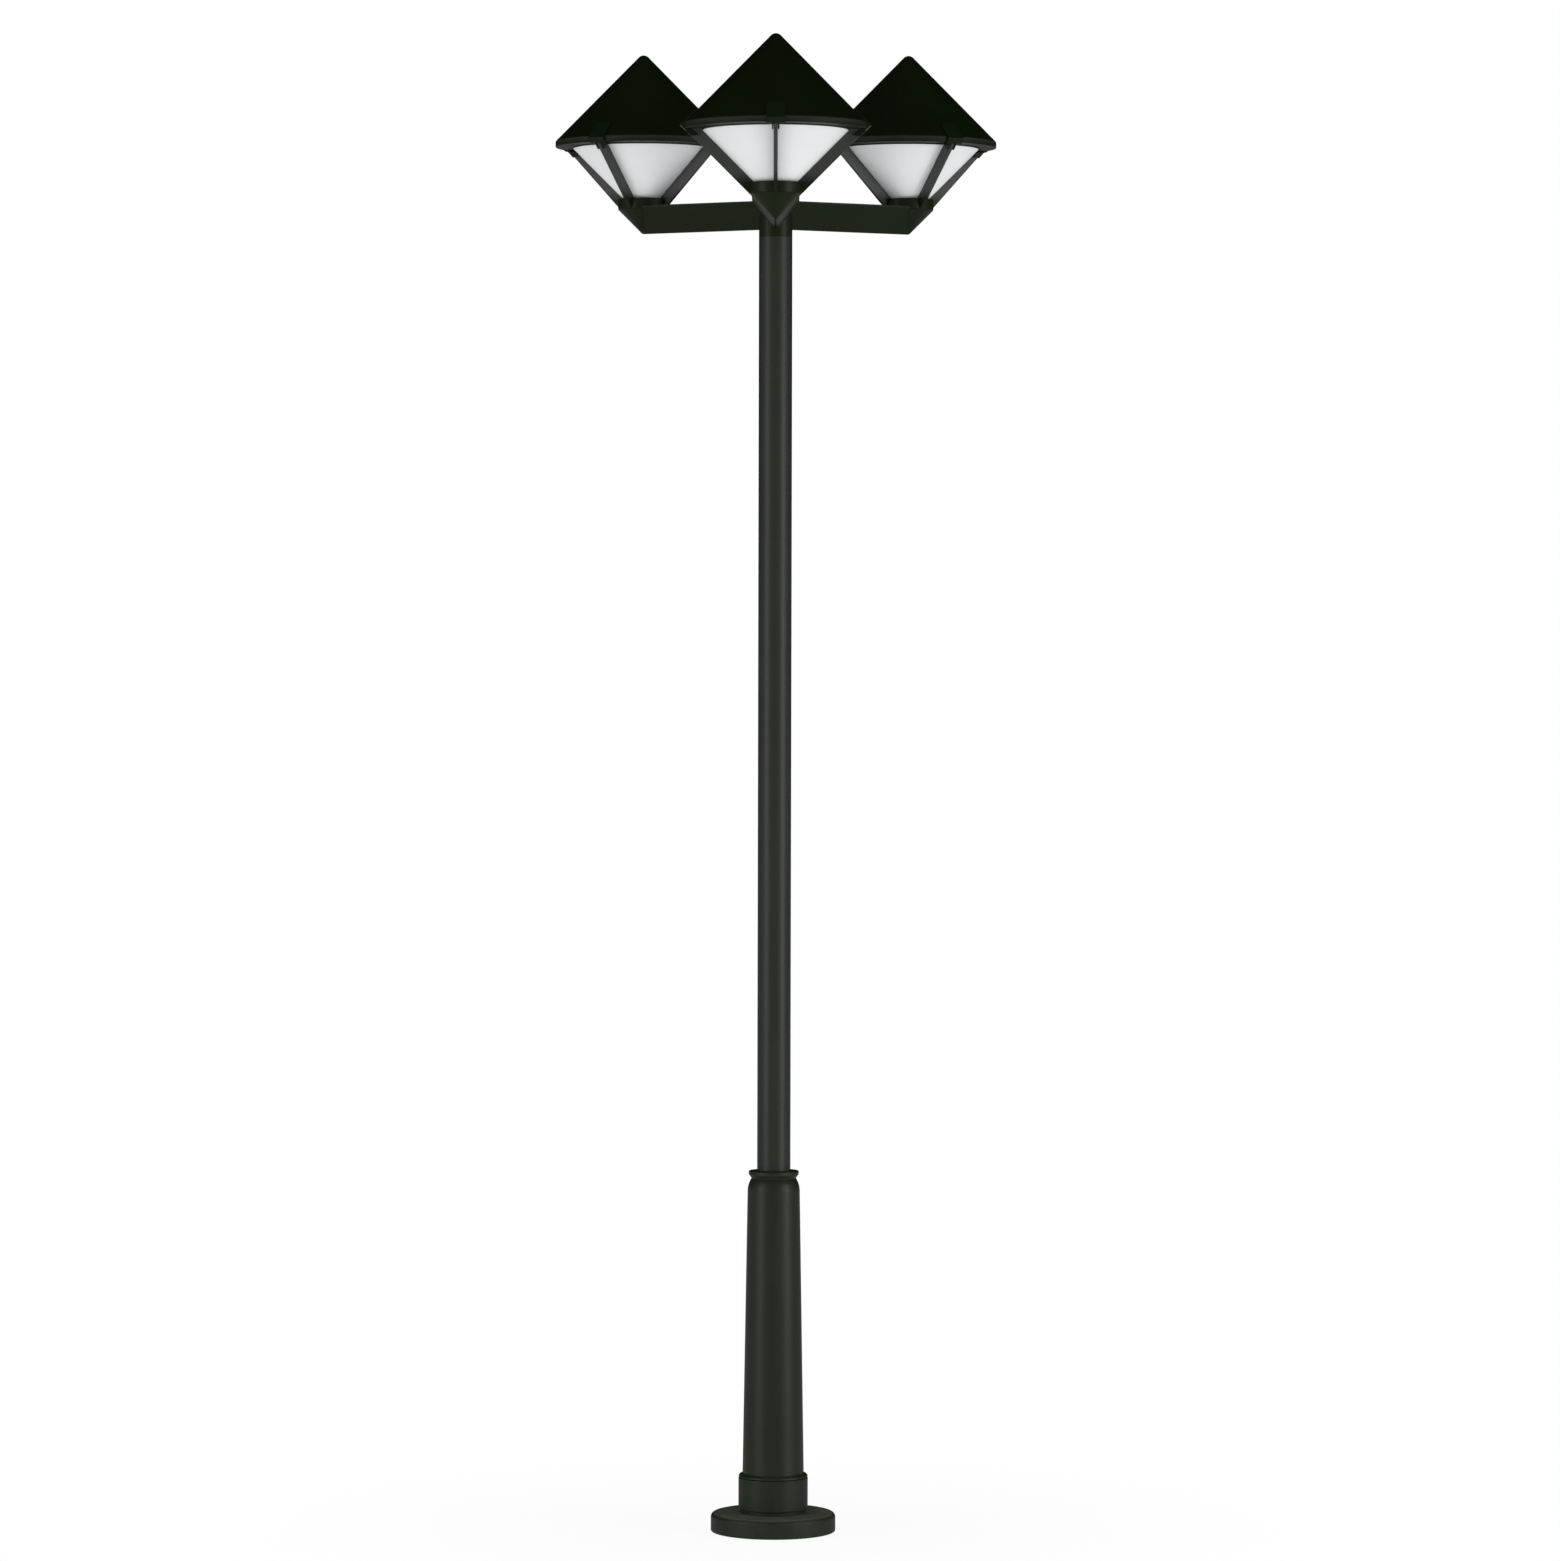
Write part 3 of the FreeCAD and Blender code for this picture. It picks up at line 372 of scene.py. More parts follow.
def eased(shape, amount):
    # rounds every true corner of a shape
    bmesh.ops.bevel(shape, geom=cornerEdges(shape), offset=amount, affect="EDGES", segments=2, profile=0.5,
                    material=-1)
    return shape


def planed(shape, point, normal):
    # cuts away what lies beyond a plane, and closes the cut
    geometry = shape.verts[:] + shape.edges[:] + shape.faces[:]
    cut = bmesh.ops.bisect_plane(shape, geom=geometry, dist=1e-7, plane_co=point, plane_no=normal,
                                 clear_outer=True)["geom_cut"]
    edges = [item for item in cut if isinstance(item, bmesh.types.BMEdge)]
    if edges:
        bmesh.ops.contextual_create(shape, geom=edges)
    return shape


def joined(parts):
    # several shapes in one; the parts are used up
    whole = bmesh.new()
    for part in parts:
        data = bpy.data.meshes.new("part")
        part.to_mesh(data)
        part.free()
        whole.from_mesh(data)
        bpy.data.meshes.remove(data)
    return whole


def turnedCopies(shape, count):
    # evenly turned copies about Z, joined in one shape
    data = bpy.data.meshes.new("part")
    shape.to_mesh(data)
    shape.free()
    whole = bmesh.new()
    for index in range(count):
        turn = Matrix.Rotation(index * math.tau / count, 4, "Z")
        data.transform(turn)
        whole.from_mesh(data)
        data.transform(turn.inverted())
    bpy.data.meshes.remove(data)
    return whole


def bead(route, radius):
    # a round bead of weld along a smooth route of points
    curve = bpy.data.curves.new("bead", "CURVE")
    curve.dimensions = "3D"
    curve.bevel_depth = radius
    curve.bevel_resolution = 2
    curve.use_fill_caps = True
    spline = curve.splines.new("NURBS")
    spline.points.add(len(route) - 1)
    for point, spot in zip(spline.points, route):
        point.co = (*spot, 1.0)
    spline.order_u = 3
    spline.use_endpoint_u = True
    spline.resolution_u = 6
    holder = bpy.data.objects.new("bead", curve)
    data = bpy.data.meshes.new_from_object(holder)
    shape = bmesh.new()
    shape.from_mesh(data)
    bpy.data.objects.remove(holder)
    bpy.data.curves.remove(curve)
    bpy.data.meshes.remove(data)
    return shape


def socketScrew(radius, length):
    # a headless screw on Z with its hexagonal socket in the end at z = 0, in shares of its radius
    share = {"across": 0.5, "easing": 0.12, "rim": 0.25, "depth": 0.8}
    across = radius * share["across"]
    screw = bmesh.new()
    bmesh.ops.create_cone(screw, cap_ends=True, segments=24, radius1=radius, radius2=radius, depth=length)
    bmesh.ops.translate(screw, verts=screw.verts, vec=(0, 0, -length / 2))
    eased(screw, radius * share["easing"])
    screw.normal_update()
    top = max((face for face in screw.faces if face.normal.z > 0.99), key=lambda face: face.calc_area())
    bmesh.ops.inset_individual(screw, faces=[top], thickness=radius * share["rim"])
    for dot in top.verts:
        bearing = math.atan2(dot.co.y, dot.co.x)
        lean = (bearing % (math.tau / 6)) - math.tau / 12
        reach = across / math.cos(lean)
        dot.co.x = reach * math.cos(bearing)
        dot.co.y = reach * math.sin(bearing)
    sunk = bmesh.ops.extrude_discrete_faces(screw, faces=[top])["faces"][0]
    bmesh.ops.translate(screw, verts=sunk.verts, vec=(0, 0, -radius * share["depth"]))
    return screw


def finishPiece(name, shape, finish, body, replaced=(), place=None):
    # gives a shape its object, its finish and its body; true corners stay crisp
    cornerAngle = math.radians(40)
    if place is not None:
        bmesh.ops.transform(shape, matrix=place, verts=shape.verts)
    for face in shape.faces:
        face.smooth = True
    for edge in cornerEdges(shape, cornerAngle):
        edge.smooth = False
    data = bpy.data.meshes.new(name)
    shape.to_mesh(data)
    shape.free()
    data.materials.append(finishes[finish])
    piece = bpy.data.objects.new(name, data)
    bpy.context.scene.collection.objects.link(piece)
    weighted = piece.modifiers.new("even_shading", "WEIGHTED_NORMAL")
    weighted.keep_sharp = True
    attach(piece, body)
    if replaced:
        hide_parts(*replaced)


# the lantern, drawn on its own axis with heights from the point where the cup's cone would end

def localBox(node):
    # half width, bottom and top of one of the front lantern's nodes
    low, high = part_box(node + "_front")
    return halfWidth(node + "_front"), low.z - lanternBase, high.z - lanternBase


def makeCup(side):
    cup = {"wall": 0.0030, "tip": 0.0040, "tipRounding": 0.0014, "rimRounding": 0.0004}
    rim = localBox("lamp_cup")[0]
    tipRadius = cup["tip"] / diagonal
    inner = cup["wall"] * diagonal
    shape = spun([
        (0, cup["tip"] * (diagonal - 1)),
        (tipRadius, tipRadius, cup["tipRounding"]),
        (rim, rim, cup["rimRounding"]),
        (rim - inner, rim, cup["rimRounding"]),
        (0, inner),
    ])
    finishPiece("lamp_cup_skin_" + side, shape, "arm", "head", ["lamp_cup_" + side],
                lanternPlaces[side])


cage = {"tip": 0.1560, "ringHeight": 0.0195, "ringBore": 0.0340, "ringRounding": 0.0012,
        "seatRounding": 0.0006, "finWidth": 0.020, "finThickness": 0.007, "finEasing": 0.0008, "fins": 4,
        "diffuserGap": 0.0003, "plateGap": 0.0022, "plateRadius": 0.0437}


def finBar():
    # a long flat bar that rises outwards at 45 degrees, planed level at its tip and foot
    bottom = localBox("lamp_cage")[1]
    tip = cage["tip"]
    root = bottom + cage["ringHeight"] - cage["finWidth"] * diagonal + cage["diffuserGap"]
    shape = bmesh.new()
    bmesh.ops.create_cube(shape, size=1.0)
    bmesh.ops.scale(shape, vec=(4 * tip, cage["finThickness"], cage["finWidth"]), verts=shape.verts)
    bmesh.ops.translate(shape, vec=(0, 0, cage["finWidth"] / 2), verts=shape.verts)
    bmesh.ops.rotate(shape, cent=(0, 0, 0), matrix=Matrix.Rotation(-math.pi / 4, 3, "Y"), verts=shape.verts)
    planed(shape, (0, 0, tip), (0, 0, 1))
    planed(shape, (0, 0, bottom), (0, 0, -1))
    planed(shape, (root, 0, 0), (-1, 0, 0))
    return eased(shape, cage["finEasing"])


def makeCage(side):
    bottom = localBox("lamp_cage")[1]
    outer = halfWidth("lamp_cup_front")
    top = bottom + cage["ringHeight"]
    seatRun = cage["finWidth"] * diagonal
    bore = cage["ringBore"]
    plateTop = bottom + cage["plateGap"]
    ring = spun([
        (cage["plateRadius"], bottom),
        (outer, bottom, cage["ringRounding"]),
        (outer, top, cage["ringRounding"]),
        (top - seatRun, top, cage["seatRounding"]),
        (bore, bore + seatRun),
        (bore, plateTop),
        (cage["plateRadius"], plateTop),
    ])
    feet = turnedCopies(planed(finBar(), (0, 0, top), (0, 0, 1)), cage["fins"])
    finishPiece("cage_ring_" + side, joined([ring, feet]), "arm", "head", ["lamp_cage_" + side],
                lanternPlaces[side])
    # the fins take the same coat as the ring, painted a lighter grey for the light they catch
    fins = turnedCopies(planed(finBar(), (0, 0, top), (0, 0, -1)), cage["fins"])
    finishPiece("cage_fins_" + side, fins, "fin", "head", ["lamp_cage_" + side],
                lanternPlaces[side])


def makeDiffuser(side):
    # a conical glass without a bottom or a lid, and the flat gasket on its rim
    glass = {"bottom": 0.0629, "top": 0.1566, "wall": 0.0030, "lipRounding": 0.0010, "footRounding": 0.0010,
             "run": 0.0203}
    gasket = {"height": 0.0015, "inner": 0.1219, "width": 0.006, "rounding": 0.0005, "gap": 0.0002}
    bottom = glass["bottom"]
    top = glass["top"]
    run = glass["run"] * diagonal
    innerRun = run + glass["wall"] * diagonal
    shape = spun([
        (bottom - innerRun, bottom, glass["footRounding"]),
        (bottom - run, bottom, glass["footRounding"]),
        (top - run, top, glass["lipRounding"]),
        (top - innerRun, top, glass["lipRounding"]),
    ], steps=128)
    finishPiece("diffuser_shell_" + side, shape, "opal", "head", ["diffuser_" + side],
                lanternPlaces[side])
    low = top + gasket["gap"]
    high = low + gasket["height"]
    inner = gasket["inner"]
    outer = inner + gasket["width"]
    corners = ((inner, low), (outer, low), (outer, high), (inner, high))
    ring = spun([(*corner, gasket["rounding"]) for corner in corners], steps=128)
    finishPiece("gasket_ring_" + side, ring, "rubber", "head", ["diffuser_gasket_" + side],
                lanternPlaces[side])


roofSizes = {"rim": 0.1586, "top": 0.3261, "band": 0.0105, "steepness": 1.0144, "wall": 0.0020,
             "hem": 0.0012, "crease": 0.0022, "opening": 0.1219, "tipShare": 0.96, "lipRounding": 0.0005,
             "innerRounding": 0.0015}


def makeRoof(side):
    # spun sheet: a hemmed band, a crease, the cone and a rounded tip, with a flange turned in below
    radius = halfWidth("roof_front")
    rim = roofSizes["rim"]
    top = roofSizes["top"]
    steep = roofSizes["steepness"]
    wall = roofSizes["wall"]
    coneBottom = rim + roofSizes["band"]
    apex = coneBottom + radius * steep
    tip = (apex - top) / steep
    innerApex = apex - wall * math.hypot(1, steep)
    shape = spun([
        (0, top),
        (tip, top, tip * roofSizes["tipShare"]),
        (radius, coneBottom, roofSizes["crease"]),
        (radius, rim, roofSizes["hem"]),
        (roofSizes["opening"], rim, roofSizes["lipRounding"]),
        (roofSizes["opening"], rim + wall, roofSizes["lipRounding"]),
        (radius - wall, rim + wall, roofSizes["innerRounding"]),
        (radius - wall, innerApex - (radius - wall) * steep, roofSizes["innerRounding"]),
        ((innerApex - top + wall) / steep, top - wall),
        (0, top - wall),
    ], steps=144)
    finishPiece("roof_skin_" + side, shape, "roof", "roof_lid_" + side, ["roof_" + side],
                lanternPlaces[side])


clipSizes = {"width": 0.032, "reach": 0.024, "sheet": 0.0024, "stand": 0.0021, "cornerRadius": 0.011,
             "hook": 0.011, "nose": 0.0016, "easing": 0.0005, "gap": 0.0002, "finGap": 0.0003,
             "forkDepth": 0.010, "forkWall": 0.0026, "forkLength": 0.013, "forkToe": 0.002, "screw": 0.0015,
             "screwProud": 0.0004, "sweepShare": 1.3, "sweepSteps": 14, "cornerSteps": 7}


def clipHook(tip, rim, radius):
    # the sheet that lies on the roof's rim and turns in under it
    steep = roofSizes["steepness"]
    bottom = tip + clipSizes["finGap"]
    lie = radius + clipSizes["gap"]
    onCone = rim + roofSizes["band"] + clipSizes["gap"]
    topRadius = lie - clipSizes["reach"]
    topHeight = onCone + clipSizes["reach"] * steep
    halfOut = clipSizes["sheet"] / diagonal
    stand = clipSizes["stand"]
    nose = (topHeight + halfOut + steep * (topRadius + halfOut - stand)) / (1 + steep)
    half = clipSizes["width"] / 2
    sweep = math.atan2(half, radius) * clipSizes["sweepShare"]  # a little wider than the clip, then planed
    shape = bmesh.new()
    dots = [shape.verts.new((x, 0, z)) for x, z in (
        (bottom + stand, bottom), (nose + stand, nose), (topRadius + halfOut, topHeight + halfOut),
        (topRadius, topHeight), (lie, onCone), (lie, rim - clipSizes["gap"]),
        (lie - clipSizes["hook"], rim - clipSizes["gap"]), (lie - clipSizes["hook"], bottom))]
    shape.faces.new(dots)
    bmesh.ops.bevel(shape, geom=[dots[1]], offset=clipSizes["nose"], affect="VERTICES", segments=4,
                    profile=0.5, material=-1)
    bmesh.ops.rotate(shape, cent=(0, 0, 0), matrix=Matrix.Rotation(-sweep, 3, "Z"), verts=shape.verts)
    bmesh.ops.spin(shape, geom=shape.verts[:] + shape.edges[:] + shape.faces[:], cent=(0, 0, 0),
                   axis=(0, 0, 1), angle=2 * sweep, steps=clipSizes["sweepSteps"])
    bmesh.ops.recalc_face_normals(shape, faces=shape.faces)
    corner = clipSizes["cornerRadius"]
    high = topHeight + 2 * halfOut
    for way in (-1, 1):
        for step in range(clipSizes["cornerSteps"] + 1):
            turn = step * math.pi / (2 * clipSizes["cornerSteps"])
            across = way * (half - corner + corner * math.cos(turn))
            spot = (0, across, high - corner + corner * math.sin(turn))
            planed(shape, spot, (0, way * math.cos(turn), math.sin(turn)))
    return eased(shape, clipSizes["easing"])


def clipFork(tip):
    # two cheeks that straddle the tip of the fin, with a small socket screw in one of them
    stand = clipSizes["stand"]
    wall = clipSizes["forkWall"]
    top = tip + clipSizes["finGap"] + clipSizes["sheet"] / 2
    bottom = tip - clipSizes["forkDepth"]
    toe = bottom + clipSizes["forkToe"]
    length = clipSizes["forkLength"]
    inner = cage["finThickness"] / 2 + clipSizes["finGap"]
    corners = [(bottom + stand, bottom), (top + stand, top), (top - length, top), (toe - length, toe)]
    parts = [eased(slab(corners, wall, way * (inner + wall / 2)), clipSizes["easing"]) for way in (-1, 1)]
    screw = socketScrew(clipSizes["screw"], wall)
    height = tip - clipSizes["forkDepth"] / 2
    side = Matrix.Translation((height - length / 2, inner + wall + clipSizes["screwProud"], height))
    bmesh.ops.transform(screw, matrix=side @ Matrix.Rotation(-math.pi / 2, 4, "X"), verts=screw.verts)
    parts.append(screw)
    return joined(parts)


def makeClips(side):
    hook = clipHook(cage["tip"], roofSizes["rim"], halfWidth("roof_front"))
    shape = turnedCopies(joined([hook, clipFork(cage["tip"])]), cage["fins"])
    finishPiece("rim_clips_" + side, shape, "clip", "roof_lid_" + side,
                ["roof_clips_" + side, "roof_lock_screws_" + side], lanternPlaces[side])


def makeHolder(side):
    # glazed holder: a flanged foot, a waist, a ribbed barrel and the socket
    holder = {"bore": 0.0032, "waist": 0.003, "footHeight": 0.005, "shoulder": 0.014, "barrel": 0.020,
              "socket": 0.0138, "socketDepth": 0.027, "ribs": 3, "ribStart": 0.004, "ribPitch": 0.0060,
              "ribDepth": 0.0008, "ribFloor": 0.0020, "ribTop": 0.0028, "footEasing": 0.0006,
              "footRounding": 0.0014, "waistRounding": 0.0012, "rounding": 0.0010, "ribRounding": 0.0004,
              "rimRounding": 0.0020, "socketRounding": 0.0008}
    foot, bottom, top = localBox("lampholder")
    waist = holder["barrel"] - holder["waist"]
    shoulder = bottom + holder["shoulder"]
    corners = [
        (holder["bore"], bottom),
        (foot, bottom, holder["footEasing"]),
        (foot, bottom + holder["footHeight"], holder["footRounding"]),
        (waist, bottom + holder["footHeight"], holder["waistRounding"]),
        (waist, shoulder - holder["waist"], holder["rounding"]),
        (holder["barrel"], shoulder, holder["rounding"]),
    ]
    for rib in range(holder["ribs"]):
        height = shoulder + holder["ribStart"] + rib * holder["ribPitch"]
        corners += [
            (holder["barrel"], height, holder["ribRounding"]),
            (holder["barrel"] - holder["ribDepth"], height + holder["ribDepth"], holder["ribRounding"]),
            (holder["barrel"] - holder["ribDepth"], height + holder["ribFloor"], holder["ribRounding"]),
            (holder["barrel"], height + holder["ribTop"], holder["ribRounding"]),
        ]
    corners += [
        (holder["barrel"], top, holder["rimRounding"]),
        (holder["socket"], top, holder["socketRounding"]),
        (holder["socket"], top - holder["socketDepth"]),
        (holder["bore"], top - holder["socketDepth"]),
    ]
    finishPiece("holder_body_" + side, spun(corners, steps=64), "ceramic", "head",
                ["lampholder_" + side], lanternPlaces[side])


def makeLamp(side):
    # the lamp: a threaded cap with its contact, and a frosted globe on a tapering neck
    lamp = {"contact": 0.0047, "contactHeight": 0.0025, "shoulder": 0.0060, "core": 0.0126,
            "rounding": 0.0010, "edge": 0.0005, "skirt": 0.0030, "skirtRise": 0.0005,
            "skirtRounding": 0.0004, "pitch": 0.0036, "turns": 4.5, "perTurn": 36, "ridgeStart": 0.0005,
            "ridgeStep": 0.0009, "ridgeEnd": 0.0035, "ridgeRoot": 0.0004, "ridgeFlank": 0.0001,
            "ridgeCrest": 0.0002, "neck": 0.0145, "neckRounding": 0.0030, "throat": 0.0060, "taper": 14.0,
            "crownShare": 0.98, "swellShare": 0.9}
    radius, bottom, top = localBox("lamp_cap")
    core = lamp["core"]
    cap = spun([
        (0, bottom),
        (lamp["contact"], bottom, lamp["rounding"]),
        (lamp["contact"], bottom + lamp["contactHeight"], lamp["edge"]),
        (core, bottom + lamp["shoulder"], lamp["rounding"]),
        (core, top - lamp["skirt"], lamp["edge"]),
        (radius, top - lamp["skirt"] + lamp["skirtRise"], lamp["skirtRounding"]),
        (radius, top),
        (0, top),
    ], steps=48)
    # the thread's rounded ridge, as one outline that is wound up the cap
    thread = bmesh.new()
    start = bottom + lamp["shoulder"] + lamp["ridgeStart"]
    ridge = [
        (core - lamp["ridgeRoot"], start),
        (core - lamp["ridgeFlank"], start + lamp["ridgeStep"]),
        (radius - lamp["ridgeCrest"], start + 2 * lamp["ridgeStep"]),
        (core - lamp["ridgeFlank"], start + 3 * lamp["ridgeStep"]),
        (core - lamp["ridgeRoot"], start + lamp["ridgeEnd"]),
    ]
    dots = [thread.verts.new((x, 0, z)) for x, z in ridge]
    for here, following in zip(dots, dots[1:]):
        thread.edges.new((here, following))
    steps = round(lamp["perTurn"] * lamp["turns"])
    bmesh.ops.spin(thread, geom=thread.verts[:] + thread.edges[:], cent=(0, 0, 0), axis=(0, 0, 1),
                   dvec=(0, 0, lamp["pitch"] / lamp["perTurn"]), angle=math.tau * lamp["turns"], steps=steps)
    bmesh.ops.recalc_face_normals(thread, faces=thread.faces)
    finishPiece("lamp_thread_" + side, joined([cap, thread]), "cap", "lamp_" + side,
                ["lamp_cap_" + side], lanternPlaces[side])
    globe, low, high = localBox("lamp_globe")
    middle = high - globe
    swell = globe * math.tan(math.radians(lamp["taper"]))
    shape = spun([
        (0, high),
        (globe, high, globe * lamp["crownShare"]),
        (globe, middle - swell, swell * lamp["swellShare"]),
        (lamp["neck"], low + lamp["throat"], lamp["neckRounding"]),
        (lamp["neck"], low, lamp["skirtRounding"]),
        (0, low),
    ], steps=64)
    finishPiece("lamp_bulb_" + side, shape, "glass", "lamp_" + side, ["lamp_globe_" + side],
                lanternPlaces[side])


def makeLanterns():
    for side in sides:
        makeCup(side)
        makeCage(side)
        makeDiffuser(side)
        makeRoof(side)
        makeClips(side)
        makeHolder(side)
        makeLamp(side)
    print("lanterns made")


armSizes = {"top": 0.0510, "halfWidth": 0.0445, "drop": 0.001, "end": 0.0015, "bead": 0.0012,
            "beadShare": 0.3, "beadTop": 0.001, "beadStop": 0.020, "beadSteps": 8, "beadLow": 0.0105,
            "beadEnd": 0.0028, "beadSide": 0.0012, "saddleLow": 0.0022, "saddleSteps": 6,
            "mitreMiddle": 0.042, "mitreTop": 0.0028, "mitreShare": 0.8}


def armSpread(height):
    # half the arm's width at a height above its lower edge
    return (height + armSizes["drop"]) * armSizes["halfWidth"] / (armSizes["top"] + armSizes["drop"])


def copeRoute():
    # where one side of an arm meets the cup, in the lantern's own place, from the top edge to below the cup
    rim = halfWidth("lamp_cup_front")
    steps = armSizes["beadSteps"]
    fall = armSizes["top"] - armSizes["beadStop"]
    route = []
    for step in range(steps + 1):
        height = armSizes["top"] - armSizes["beadTop"] - step * fall / steps
        radius = min(rim, height) + armSizes["bead"] * armSizes["beadShare"]
        across = armSpread(height)
        inward = math.sqrt(max(radius ** 2 - across ** 2, armSizes["end"] ** 2))
        route.append((-inward, across, height))
    route.append((-armSizes["end"], armSpread(armSizes["beadLow"]), armSizes["beadLow"]))
    route.append((-armSizes["end"], armSizes["beadSide"], armSizes["beadEnd"]))
    return route


def mirrored(route):
    return [(x, -y, z) for x, y, z in route]


def makeWelds():
    # ground weld beads where the arms meet the cups, the hub and one another
    radius = armSizes["bead"]
    hub = halfWidth("hub_core")
    steps = armSizes["saddleSteps"]
    for side, angle in sides.items():
        cup = joined([bead(copeRoute(), radius), bead(mirrored(copeRoute()), radius)])
        bmesh.ops.transform(cup, matrix=lanternPlaces[side], verts=cup.verts)
        saddle = []
        for step in range(steps + 1):
            bearing = step * math.pi / (3 * steps)
            across = hub * math.sin(bearing)
            height = across / armSizes["halfWidth"] * (armSizes["top"] + armSizes["drop"]) - armSizes["drop"]
            saddle.append((hub * math.cos(bearing), across, max(height, armSizes["saddleLow"])))
        mitre = [saddle[-1]]
        for height in (armSizes["mitreMiddle"], armSizes["top"] - armSizes["mitreTop"]):
            across = armSpread(height)
            mitre.append((across / math.tan(math.pi / 3), across, height))
        joint = joined([bead(saddle, radius), bead(mirrored(saddle), radius),
                        bead(mitre, radius * armSizes["mitreShare"])])
        turn = Matrix.Translation((0, 0, headBase)) @ Matrix.Rotation(math.radians(angle), 4, "Z")
        bmesh.ops.transform(joint, matrix=turn, verts=joint.verts)
        finishPiece("arm_welds_" + side, joined([cup, joint]), "arm", "head")
    print("weld beads made")


def makeFoot():
    # base ring, shoulder ring, tapered sleeve and collar round the foot of the tube, above the flange
    foot = {"gap": 0.0002, "neck": 0.0580, "ringBottom": 0.0412, "ring": 0.0626, "ringTop": 0.0978,
            "rounding": 0.0015, "plate": 0.0070, "seam": 0.0008, "seamRadius": 0.0581, "shoulder": 0.0623,
            "shoulderTop": 0.1052, "shoulderRounding": 0.0050, "shoulderFall": 0.0010, "seat": 0.0030,
            "sleeve": 0.0553, "sleeveTop": 0.6378, "wide": 0.0469, "wideDrop": 0.0120, "wideRounding": 0.0090,
            "slim": 0.0406, "slimRounding": 0.0010, "wall": 0.0025, "bore": 0.0540, "neckEasing": 0.0005,
            "neckFillet": 0.0006, "seamEasing": 0.0007, "sleeveEasing": 0.0003}
    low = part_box("base_ring")[0].z
    tube = halfWidth("post_tube") + foot["gap"]
    bore = foot["bore"]
    ringTop = foot["ringTop"]
    seamTop = ringTop + foot["seam"]
    ring = spun([
        (bore, low),
        (foot["neck"], low, foot["neckEasing"]),
        (foot["neck"], foot["ringBottom"], foot["neckFillet"]),
        (foot["ring"], foot["ringBottom"], foot["rounding"]),
        (foot["ring"], ringTop, foot["rounding"]),
        (tube, ringTop),
        (tube, ringTop - foot["plate"]),
        (bore, ringTop - foot["plate"]),
    ], steps=144)
    finishPiece("base_ring_skin", ring, "cast", "post", ["base_ring"])
    inner = foot["sleeve"] + foot["gap"]
    seat = seamTop + foot["seat"]
    shoulder = spun([
        (tube, ringTop + foot["gap"]),
        (foot["seamRadius"], ringTop + foot["gap"]),
        (foot["seamRadius"], seamTop),
        (foot["shoulder"], seamTop, foot["seamEasing"]),
        (foot["shoulder"], foot["shoulderTop"] - foot["shoulderFall"], foot["shoulderRounding"]),
        (inner, foot["shoulderTop"], foot["sleeveEasing"]),
        (inner, seat),
        (tube, seat),
    ], steps=144)
    finishPiece("shoulder_ring_skin", shoulder, "cast", "post", ["shoulder_ring"])
    wideTop = foot["sleeveTop"] - foot["wideDrop"]
    sleeve = spun([
        (foot["sleeve"] - foot["wall"], seat + foot["gap"]),
        (foot["sleeve"], seat + foot["gap"]),
        (foot["wide"], wideTop, foot["wideRounding"]),
        (foot["slim"], foot["sleeveTop"], foot["slimRounding"]),
        (foot["slim"] - foot["wall"], foot["sleeveTop"]),
        (foot["wide"] - foot["wall"], wideTop),
    ], steps=144)
    finishPiece("sleeve_skin", sleeve, "sleeve", "post", ["tapered_sleeve"])
    makeCollar(foot["sleeveTop"] + foot["gap"], tube, foot["slim"])
    print("foot made")


def makeCollar(bottom, tube, slim):
    # the turned collar that closes the sleeve, and the grub screw that stands a little proud of its lip
    collar = {"neck": 0.0015, "flare": 0.0062, "lip": 0.0451, "lipHeight": 0.0060, "lipRounding": 0.0012,
              "slope": 0.0017, "topWidth": 0.0024, "proud": 0.0003, "footEasing": 0.0004,
              "neckFillet": 0.0008, "flareRounding": 0.0010, "topEasing": 0.0008}
    lipBottom = bottom + collar["neck"] + collar["flare"]
    lipTop = lipBottom + collar["lipHeight"]
    top = lipTop + collar["slope"]
    shape = spun([
        (tube, bottom),
        (slim, bottom, collar["footEasing"]),
        (slim, bottom + collar["neck"], collar["neckFillet"]),
        (collar["lip"], lipBottom, collar["flareRounding"]),
        (collar["lip"], lipTop, collar["lipRounding"]),
        (tube + collar["topWidth"], top, collar["topEasing"]),
        (tube, top),
    ], steps=144)
    finishPiece("collar_skin", shape, "cast", "post", ["sleeve_collar"])
    low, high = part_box("collar_grub_screw")
    screw = socketScrew((high.z - low.z) / 2, high.y - low.y)
    spot = (0, collar["lip"] + collar["proud"], (lipBottom + lipTop) / 2)
    place = Matrix.Translation(spot) @ Matrix.Rotation(-math.pi / 2, 4, "X")
    finishPiece("collar_screw", screw, "blackened", "post", ["collar_grub_screw"], place)


# floor, sky, lamps and camera

